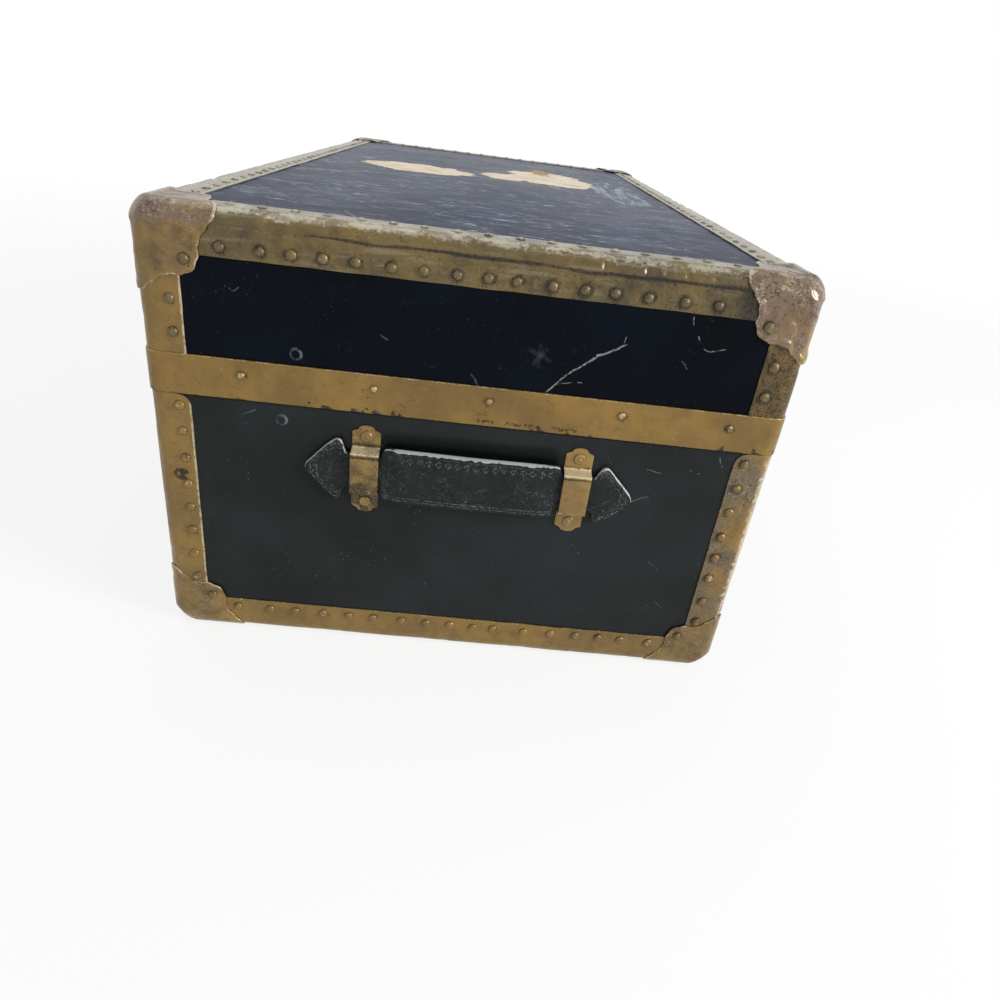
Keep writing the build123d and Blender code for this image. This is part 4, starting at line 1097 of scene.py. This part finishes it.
# Blue-grey patches: painted reflection.
painted_reflection_patches = finish.mask(finish.noise(38, 5, 0.65, stretch=(1, 0.6, 1), shift=(0.3, 0.2, 0)), 0.48, 0.64)
finish.coat(painted_reflection_patches, 0.34, (74, 87, 114))
streaks = finish.noise(210, 4, 0.7, stretch=(1, 0.22, 1), shift=(0.1, 0.7, 0))
fleck_field = finish.noise(22, 3, 0.6, shift=(0.4, 0.9, 0))
flecks = finish.both(finish.mask(streaks, 0.59, 0.66), finish.mask(fleck_field, 0.44, 0.56))
finish.coat(flecks, 0.8, (184, 192, 206))
long_hairs = hairlines(finish, (44, (1, 0.10, 1), (0.2, 0.4, 0), 0.006, 30, 0.46),
                       (60, (1, 0.08, 1), (0.6, 0.9, 0), 0.006, 26, 0.48))
finish.coat(long_hairs, 0.45, (170, 184, 204))
pale = finish.both(ragged_oval(finish, (-0.03, 0.135, ON_TOP), 0.115, 0.028, 1.4, 22),
                   finish.mask(finish.noise(120, 4, 0.7, stretch=(0.2, 1, 1)), 0.42, 0.62))
finish.coat(pale, 0.55, (165, 185, 205))
paper_drift = finish.mask(finish.noise(40, 4), 0.35, 0.7)
paper_tone = finish.blend(paper_drift, colour(242, 230, 208), colour(224, 204, 176))
paper = finish.either(ragged_oval(finish, (-0.030, -0.080, ON_TOP), 0.048, 0.060, 1.1, 30),
                      ragged_oval(finish, (-0.100, 0.066, ON_TOP), 0.082, 0.048, 1.2, 24, 0.5),
                      ragged_oval(finish, (-0.060, 0.012, ON_TOP), 0.036, 0.026, 1.0, 34, 0.2))
finish.coat(paper, 1, paper_tone)
tan_spot = ragged_oval(finish, (-0.170, 0.058, ON_TOP), 0.040, 0.012, 2.4, 70)
finish.coat(tan_spot, 0.7, (176, 130, 70))
rough = finish.math("ADD", rough, finish.both(paper, 0.7))
finish.shader.inputs["Sheen Weight"].default_value = 0.05
finish.shader.inputs["Sheen Roughness"].default_value = 0.35
finish.shader.inputs["Sheen Tint"].default_value = colour(150, 185, 255)
top_enamel = finish.done(rough, finish.bump(paper, 0.00015, relief))

# %% Sheets
MARGIN, SKIN = 0.012, 0.0005
WALL_GRID, RIGHT_GRID, TOP_GRID, UNDERSIDE_GRID = 0.006, 0.002, 0.004, 0.008
UNDER_PAINT_RISE = 0.0014


def wall_sheet(side, low, high, step):
    """One wavy panel of covering, set a binding's thickness inside the block."""
    foot, along, inward, half_run = SIDES[side]
    half_run -= MARGIN

    def place(u, v):
        flat = foot + along * (half_run * (2 * u - 1)) + Z * (low + (high - low) * v)
        return flat + inward * (SHEET - 0.00016 * lumps(flat, 0.11, 21) - 0.00004 * lumps(flat, 0.03, 22))

    sheet = bent_sheet(round(2 * half_run / step), round((high - low) / step), place)
    for nail in PAINTED_NAILS:
        near = [e for e in sheet.edges if all((v.co - nail).length < 0.007 for v in e.verts)]
        bmesh.ops.subdivide_edges(sheet, edges=near, cuts=3, use_grid_fill=True)
        for point in sheet.verts:
            point.co.x += UNDER_PAINT_RISE * (1 - soft_step((point.co - nail).length, 0.0024, 0.0044))
    face_outwards(sheet, MIDDLE)
    return sheet


def flat_sheet(z, step):
    """The covering of the top or of the underside, with its slow waves."""
    half_x, half_y = HALF.x - MARGIN, HALF.y - MARGIN

    def place(u, v):
        flat = Vector((half_x * (2 * u - 1), half_y * (2 * v - 1), z))
        return flat + Z * (0.00022 * lumps(flat, 0.12, 25) + 0.00005 * lumps(flat, 0.03, 26))

    sheet = bent_sheet(round(2 * half_x / step), round(2 * half_y / step), place)
    face_outwards(sheet, MIDDLE)
    return sheet


def walls(name, low, high):
    """The four panels of the lid or of the base, the finest one at the right-hand end."""
    return joined(name,
                  [wall_sheet(s, low, high, RIGHT_GRID if s == "right" else WALL_GRID) for s in SIDES])


for name, sheet, body, paint, replaced in (
    ("lid_wall_sheets", walls("lid_sheets", LID_FOOT, TOP - MARGIN), "lid", lid_enamel, "lid_wall_skins"),
    ("base_wall_sheets", walls("base_sheets", BOTTOM + MARGIN, SEAM), "base", base_enamel,
     "base_wall_skins"),
    ("lid_top_sheet", flat_sheet(TOP - SHEET, TOP_GRID), "lid", top_enamel, "lid_top_skin"),
    ("underside_sheet", flat_sheet(BOTTOM + SHEET, UNDERSIDE_GRID), "base", base_enamel,
     "base_bottom_skin"),
):
    finished(name, sheet, body, paint, [replaced], SKIN)
print("sheets", SKIN / MM, "mm thick on", len(SIDES), "walls, the top and the underside")


# %% [markdown]
# ## Handle loops
# Each handle hangs in two loops bent from brass-plated strip: two ears with an ogee end lie on the
# panel, and the bridge between them steps out over the leather. The strip is a narrow grid, shaped
# in width by the ogee and in height by the step, with the sheet's thickness added behind it.

# %% Loops
HANDLE_Y, HANDLE_Z = 0.0045, 0.1455
LOOP_OFFSET = 0.0705
EAR_WIDE, EAR_NARROW = 0.0092, 0.0052
EAR_STRAIGHT, EAR_NOSE, EAR_HALF = 0.0274, 0.0293, 0.032
LOOP_STEEL = 0.0012
LOOP_STEP = 0.0081


def ogee_half_width(z):
    """Half the loop's width at a distance z above or below its middle."""
    z = abs(z)
    if z <= EAR_STRAIGHT:
        return EAR_WIDE
    if z <= EAR_NOSE:
        return EAR_WIDE - (EAR_WIDE - EAR_NARROW) * (z - EAR_STRAIGHT) / (EAR_NOSE - EAR_STRAIGHT)
    return EAR_NARROW * math.sqrt(max(0.0, 1 - ((z - EAR_NOSE) / (EAR_HALF - EAR_NOSE)) ** 2))


def handle_loop(side, way):
    """One loop: side picks the end of the trunk, way the front or the back half of the handle."""
    middle = Vector((side * PANEL_X, HANDLE_Y + way * LOOP_OFFSET, HANDLE_Z))

    def place(u, v):
        z = EAR_HALF * (2 * v - 1)
        y = ogee_half_width(z) * (2 * u - 1)
        bridge = 1 - soft_step(abs(z), 0.0143, 0.0168)
        rise = LOOP_STEEL + LOOP_STEP * bridge
        rise += 0.00012 * lumps(Vector((side, y, z)) + middle, 0.008, 31)
        return middle + Vector((side * rise, y, z))

    loop = bent_sheet(12, 144, place)
    bmesh.ops.remove_doubles(loop, verts=loop.verts[:], dist=0.00005)
    face_outwards(loop, MIDDLE)
    return loop


def loop_wear_and_light(point):
    """Lighter on the steps as wear and painted highlight, a painted shadow under the upper step, darker
    along the foot, and painted shade over the front loop.
    """
    z = point.z - HANDLE_Z
    # The steps are lightened as wear and as a painted highlight, the upper one twice as much.
    step = ridge(z, 0.0153, 0.0016) + 0.5 * ridge(z, -0.0153, 0.0014)
    # A painted shadow in a thin line just under the upper step.
    under = ridge(z, 0.0122, 0.0008)
    foot = ridge(abs(z), 0.0182, 0.0012)
    # The front loop is painted darker all over: painted shade.
    front = 1.0 if point.y < 0 else 0.0
    blotch = front * (1 - soft_step(z, -0.012, 0.002)) * max(0.0, 0.3 + lumps(point, 0.007, 33))
    lightened = 0.22 + 0.75 * step - 0.1 * front
    return lightened, 0.35 * foot + 0.6 * under + 0.3 * front + 0.7 * blotch, 0.05 + 0.12 * front


for side_name, side in (("left", -1), ("right", 1)):
    loops = joined("loops", [handle_loop(side, way) for way in (-1, 1)])
    mark_amounts(loops, loop_wear_and_light)
    finished(f"handle_loop_pair_{side_name}", loops, "base", loop_brass,
             [f"handle_loops_{side_name}"], LOOP_STEEL * 0.92, SOFT_RIM)
    print("two loops on the", side_name)


# %% [markdown]
# ## Leather handles
# The handle is black bridle leather: a broad grip, a narrow neck through each loop, and an arrow
# head at each end that stops it pulling out. The outline is kept as two lines, upper and lower, and
# a fine grid is stretched between them. A copy of the grid makes the back, and because both thin
# away to nothing at the outline, merging the doubled points closes them into one solid. The tooled
# border is pressed into the front of the grid itself.

# %% Handle outline
HANDLE_HALF, HANDLE_WIDTH = 110, 44
UPPER = [(-110, 0.8), (-109.2, 3), (-97, 16.4), (-93, 20), (-90.4, 21.8), (-88.4, 22.3), (-86.6, 21.4),
         (-85.4, 18.8), (-84.6, 15.2), (-83.2, 13), (-60.4, 13), (-59.7, 15), (-58.8, 17.6),
         (-57.2, 19.1), (-55, 19.5), (55, 19.5), (57.2, 19.1), (58.8, 17.6), (59.7, 15), (60.4, 13),
         (83.2, 13), (84.4, 15.4), (86.2, 19), (87.8, 20.6), (89.4, 21), (91.4, 20.2), (94, 17.6),
         (107.6, 3.4), (109.2, 1), (110, -1)]
LOWER = [(-110, -0.6), (-109, -4), (-93, -20.6), (-90.8, -22.2), (-88.8, -22.6), (-86.8, -21.6),
         (-85.6, -19), (-84.6, -15.4), (-83.2, -13), (-60.4, -13), (-59.7, -15), (-58.8, -17.6),
         (-57.2, -19.1), (-55, -19.5), (55, -19.5), (57.2, -19.1), (58.8, -17.6), (59.7, -15),
         (60.4, -13), (83.2, -13), (84.4, -15.4), (85.6, -20.4), (86.8, -22.4), (88.6, -22.4),
         (91, -20.6), (108, -6.6), (109.4, -4.4), (110, -2.4)]
FRONT = [(-110, 5.2), (-84, 5.5), (-63, 6.8), (-42, 9.8), (0, 10.7), (42, 9.8), (63, 6.8), (84, 5.5),
         (110, 5.2)]
BACK = [(-110, 0.9), (-84, 1.0), (-63, 1.2), (-42, 3.0), (0, 3.8), (42, 3.0), (63, 1.2), (84, 1.0),
        (110, 0.9)]


def along_line(table, value):
    """Reads a table of (where, amount) pairs in straight runs."""
    for (a, low), (b, high) in zip(table, table[1:]):
        if value <= b:
            return low + (high - low) * (value - a) / (b - a)
    return table[-1][1]


def tooling(y, from_top, from_bottom):
    """The pressed border at a place on the leather, in millimetres: 0 is untouched, 1 fully pressed."""
    edge = min(from_top, from_bottom)
    if abs(y) > 86:
        tip = (HANDLE_HALF - abs(y)) * 0.72
        edge = min(edge, tip)
        lines = max(ridge(edge, 2.6, 0.45), ridge(edge, 5.6, 0.45))
        beads = ridge(edge, 4.1, 0.8) * (1 if (abs(y) * 0.7 + from_top * 0.5) % 1.9 < 0.9 else 0)
        return max(lines, 0.8 * beads)
    if abs(y) < 57:
        lines = max(ridge(from_bottom, 3.0, 0.45), ridge(from_bottom, 5.0, 0.45),
                    0.7 * ridge(from_top, 2.4, 0.45))
        leaf = 0.0
        if -46 < y < 54:
            cell = (y % 6.2) / 6.2 - 0.5
            across = (from_top - 6.0) / 3.0
            diamond = abs(cell) * 2.2 + abs(across)
            leaf = 1 - soft_step(abs(diamond - 0.78), 0.10, 0.26)
            vein = ridge(cell * 6.2, 0.0, 0.4) * (1 if abs(across) < 0.5 else 0)
            leaf = max(leaf, vein)
        return max(lines, 0.9 * leaf)
    return 0.0


# %% Build one handle
def leather_handle(side, step):
    """A front and a back skin between the two outlines, closed where they meet."""
    middle = Vector((side * PANEL_X, HANDLE_Y, HANDLE_Z))
    columns, rows = round(2 * HANDLE_HALF / step), round(HANDLE_WIDTH / step)

    def skin(front):
        def place(u, v):
            y = HANDLE_HALF * (2 * u - 1)
            top, bottom = along_line(UPPER, y), along_line(LOWER, y)
            z = bottom + (top - bottom) * v
            outer, inner = between(FRONT, y), between(BACK, y)
            edge = min(top - z, z - bottom, (HANDLE_HALF + 0.4 - abs(y)) * 1.2)
            round_off = min(1.0, max(0.0, edge) / 1.7)
            swell = math.sqrt(1 - (1 - round_off) ** 2)
            centre, half = (outer + inner) / 2, (outer - inner) / 2
            puffed = 0.25 * soft_step(edge, 0.5, 7) if abs(y) < 60 else 0.1 * soft_step(edge, 0.5, 5)
            x = centre + (half - 0.2 + puffed) * swell if front else centre - half * swell
            here = Vector((x, y, z))
            if front and 0 < v < 1:
                x -= 0.38 * tooling(y, top - z, z - bottom) * round_off
                x += 0.10 * lumps(here, 7.0, 41) + 0.05 * lumps(here, 2.2, 42)
            return middle + Vector((side * x, y, z)) * MM

        return bent_sheet(columns, rows, place)

    body = joined("leather", [skin(True), skin(False)])
    bmesh.ops.remove_doubles(body, verts=body.verts[:], dist=0.00006)
    bmesh.ops.recalc_face_normals(body, faces=body.faces[:])
    return body


def leather_wear(point):
    """Whitened where hands have held it: the grip's upper edge, the necks and one arrow head."""
    y, z = (point.y - HANDLE_Y) / MM, (point.z - HANDLE_Z) / MM
    y = max(-HANDLE_HALF, min(HANDLE_HALF, y))
    top, bottom = along_line(UPPER, y), along_line(LOWER, y)
    off = (abs(point.x) - PANEL_X) / MM
    uneven = 0.5 + 0.5 * lumps(point, 0.009, 44)
    ragged = 0.7 * lumps(point, 0.003, 46)
    front_half = soft_step(off, 4.6, 6.6) if abs(y) < 60 else soft_step(off, 2.2, 3.8)
    upper_rim = (1 - soft_step(top - z + ragged, 0.3, 1.5)) * front_half
    lower_rim = (1 - soft_step(z - bottom + ragged, 0.2, 1.5)) * soft_step(off, 2.4, 4.4)
    if abs(y) < 58:
        lightened = upper_rim * (0.85 + 0.3 * uneven) + 0.3 * lower_rim * uneven
    elif y > 83:
        smeared = 0.35 * soft_step(y, 92, 104) * uneven * soft_step(off, 2.4, 4.4)
        lightened = upper_rim * 1.1 + 1.2 * lower_rim * uneven + smeared
    elif y < -83:
        lightened = upper_rim * (0.75 + 0.3 * uneven) + lower_rim * 0.3 * uneven
    else:
        lightened = 0.4 * upper_rim
    pressed = tooling(y, top - z, z - bottom) if off > 2.5 else 0.0
    return min(1.0, lightened), min(1.0, pressed), max(0.0, lumps(point, 0.03, 45))


# %% Leather finish
finish = Finish("worn_black_leather", specular=0.22)
lightened, pressed, scuffed = finish.wear()
cells = finish.node("TexVoronoi", {"Vector": finish.where, "Scale": 1100.0}, feature="DISTANCE_TO_EDGE")
grain = cells.outputs["Distance"]
pores = finish.noise(1300, 4, 0.7)
creases = finish.noise(420, 5, 0.7)
cloud = finish.noise(60, 4, 0.6)
finish.ground(finish.mask(cloud, 0.35, 0.7), (17, 20, 21), (30, 34, 35))
finish.coat(finish.mask(pores, 0.52, 0.68), 0.25, (66, 70, 70))
dusty = finish.both(finish.mask(creases, 0.58, 0.7), finish.math("ADD", finish.both(scuffed, 0.8), 0.05))
finish.coat(dusty, 1, (112, 116, 116))
scratch = hairlines(finish, (110, (1, 1, 1), (0.2, 0.1, 0), 0.006, 60, 0.46),
                    (160, (1, 0.5, 1), (0.7, 0.3, 0), 0.006, 60, 0.46))
finish.coat(scratch, 0.4, (136, 140, 140))
finish.coat(finish.mask(creases, 0.47, 0.36), 0.6, (12, 13, 14))
in_tooling = finish.both(finish.mask(pressed, 0.25, 0.8), finish.mask(finish.noise(700, 3, 0.6), 0.42, 0.6))
finish.coat(in_tooling, 0.6, (128, 134, 134))
finish.coat(finish.ragged(lightened, pores, 0.8, 0.78, 1.04), 0.95, (196, 199, 200))
rough = finish.math("ADD", finish.both(cloud, 0.25), 0.42)
relief = finish.bump(finish.mask(grain, 0.0, 0.25), 0.00016, finish.bump(creases, 0.0006))
black_leather = finish.done(rough, relief)

for side_name, side, step in (("left", -1, 1.0), ("right", 1, 0.6)):
    handle = leather_handle(side, step)
    mark_amounts(handle, leather_wear)
    print(side_name, "handle:", len(handle.faces), "faces")
    finished(f"leather_handle_{side_name}_tooled", handle, f"leather_handle_{side_name}",
             black_leather, [f"leather_handle_{side_name}"], crease=0)


# %% [markdown]
# ## Rivets
# A rivet's head is flatter than a nail's and has a raised ring, so it has a shape of its own, which
# was made with the nail's. The CAD frame says where each plate and loop is riveted; only their
# places are repeated here.

# %% Rivets
RIVET_WEAR = (0.3, 0.15, 0.15)
PLATE_RIVET, LID_RIVET = (0.0042, 0.0014), (0.0034, 0.0016)
LATCHES, HINGES = (0.0, -0.235, 0.235), (-0.235, 0.235)
PLATE_FRONT, LID_PLATE_FRONT, HINGE_BACK = 0.2052, 0.2072, 0.2054
LOOP_FACE, LOOP_RIVET = PANEL_X + LOOP_STEEL, 0.024
loop_middle = Vector((0, HANDLE_Y, HANDLE_Z))
base_rivets = [(loop_middle + side * LOOP_FACE * X + way * LOOP_OFFSET * Y + up * LOOP_RIVET * Z, side * X)
               for side in (-1, 1) for way in (-1, 1) for up in (-1, 1)]
base_rivets += [(Vector((x, -PLATE_FRONT, z)), -Y) for x in (-0.028, 0.028) for z in (0.1295, 0.1765)]
base_rivets += [(Vector((x + dx, -PLATE_FRONT, 0.1475)), -Y) for x in HINGES for dx in (-0.012, 0.012)]
base_rivets += [(Vector((x + dx, HINGE_BACK, z)), Y)
                for x in HINGES for dx in (-0.02, 0.02) for z in (0.155, 0.170)]
drive_nails("plate_and_loop_rivets", base_rivets, *PLATE_RIVET, "base", loop_brass, ["base_rivets"],
            wear=RIVET_WEAR, jitter=0.0001, head=rivet_mesh)
lid_rivets = [(Vector((x + dx, -LID_PLATE_FRONT, 0.2045)), -Y)
              for x, reach in zip(LATCHES, (0.020, 0.012, 0.012)) for dx in (-reach, reach)]
lid_rivets += [(Vector((x + dx, LID_PLATE_FRONT, 0.202)), Y) for x in HINGES for dx in (-0.02, 0.02)]
drive_nails("lid_plate_rivets", lid_rivets, *LID_RIVET, "lid", loop_brass, ["lid_rivets"],
            wear=RIVET_WEAR, jitter=0.0001, head=rivet_mesh)


# %% [markdown]
# ## Lock, hasp, catches and hinges
# These keep their CAD shape, but a machined edge looks like a knife, and stamped brass has soft
# ones. So each is copied from the frame, its loose triangles are merged into faces, and its sharp
# edges are bevelled by a third of a millimetre.

# %% Hardware finish
finish = Finish("stamped_brass", metallic=0.85)
lightened = finish.wear()[0]
cloud = finish.noise(70, 4, 0.6)
grit = finish.noise(600, 3, 0.6)
finish.ground(finish.mask(cloud, 0.35, 0.68), (186, 150, 88), (138, 108, 66))
finish.coat(finish.mask(grit, 0.62, 0.72), 0.5, (74, 58, 38))
finish.coat(finish.ragged(lightened, cloud, 1, 0.9, 1.2), 0.7, (222, 196, 140))
rough = finish.math("ADD", finish.both(cloud, 0.3), 0.2)
stamped_brass = finish.done(rough, finish.bump(grit, 0.00008))

finish = Finish("old_steel", metallic=0.8)
cloud = finish.noise(80, 4, 0.6)
finish.ground(finish.mask(cloud, 0.4, 0.7), (140, 138, 132), (98, 88, 78))
old_steel = finish.done(finish.math("ADD", finish.both(cloud, 0.3), 0.28),
                        finish.bump(finish.noise(500), 0.00008))


# %% Soften the hardware
HARDWARE_ROUND = 0.00035
HARDWARE_SHARP = math.radians(35)


def softened(node):
    """A copy of a CAD node with its triangles merged and its sharp edges rounded."""
    shape = bmesh.new()
    shape.from_mesh(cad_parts[node].data)
    bmesh.ops.remove_doubles(shape, verts=shape.verts[:], dist=0.000002)
    bmesh.ops.dissolve_limit(shape, angle_limit=math.radians(2), verts=shape.verts[:], edges=shape.edges[:])
    sharp = [e for e in shape.edges if e.is_manifold and e.calc_face_angle(0.0) > HARDWARE_SHARP]
    bmesh.ops.bevel(shape, geom=sharp, offset=HARDWARE_ROUND, offset_type="OFFSET", segments=2, profile=0.5,
                    affect="EDGES", clamp_overlap=True, material=-1)
    return shape


def plate_wear(point):
    """Rubbed in broad patches, a little dirty everywhere."""
    return 0.35 + 0.3 * lumps(point, 0.02, 51), 0.15, 0.1


METALS = {"lock_brass": stamped_brass, "steel": old_steel}
HARDWARE = [
    ("lock_case", "base", "lock_brass"), ("catch_base_plates", "base", "lock_brass"),
    ("hinge_base_leaves", "base", "steel"), ("hasp_plate", "lid", "lock_brass"),
    ("catch_lid_plates", "lid", "lock_brass"), ("hinge_lid_leaves", "lid", "steel"),
]
HARDWARE += [(node, node, "lock_brass")
             for node in ("hasp", "lock_cylinder", "catch_strap_left", "catch_strap_right")]
for node, body, slot in HARDWARE:
    shape = softened(node)
    mark_amounts(shape, plate_wear)
    finished(f"{node}_soft", shape, body, METALS[slot], [node], crease=HARDWARE_SHARP)
    print(node, "softened")


# %% [markdown]
# ## Plywood, paper and rim
# Inside, the CAD shapes are already right: flat boards, a paper lining and the thin rim strips that
# guide the lid. They keep their meshes and only get a better finish.

# %% Plywood and paper
finish = Finish("plywood", specular=0.3)
fibre = finish.noise(60, 5, 0.65, stretch=(0.12, 0.12, 1))
x, y = finish.axes()[:2]
depth_x = finish.math("SUBTRACT", HALF.x, finish.math("ABSOLUTE", x))
depth_y = finish.math("SUBTRACT", HALF.y, finish.math("ABSOLUTE", y))
ply = finish.math("PINGPONG", finish.math("MINIMUM", depth_x, depth_y), 0.002)
finish.ground(finish.mask(fibre, 0.35, 0.7), (188, 154, 108), (150, 114, 74))
finish.coat(finish.mask(ply, 0.0009, 0.0012), 0.5, (110, 80, 50))
plywood = finish.done(0.75, finish.bump(fibre, 0.0002))

finish = Finish("lining_paper", specular=0.15)
stain = finish.noise(7, 5, 0.6)
fox = finish.noise(90, 4, 0.6)
fibre = finish.noise(900, 3, 0.6)
finish.ground(finish.mask(stain, 0.4, 0.75), (206, 190, 156), (172, 148, 108))
finish.coat(finish.mask(fox, 0.66, 0.76), 0.5, (140, 100, 58))
x, y = finish.axes()[:2]
ribs = finish.math("PINGPONG", finish.math("ADD", x, y), 0.006)
finish.coat(finish.mask(ribs, 0.0048, 0.0056), 0.25, (128, 96, 66))
lining_paper = finish.done(0.85, finish.bump(fibre, 0.0001))

KEPT = {old_steel: ["base_rim_strips", "hinge_pins", "flap_pins"],
        lining_paper: ["base_lining", "lid_lining"]}
KEPT[plywood] = [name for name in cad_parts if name.endswith("_board")]
for finish_made, names in KEPT.items():
    for name in names:
        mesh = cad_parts[name].data
        mesh.materials.clear()
        mesh.materials.append(finish_made)
    print(finish_made.name, "on", len(names), "CAD pieces")
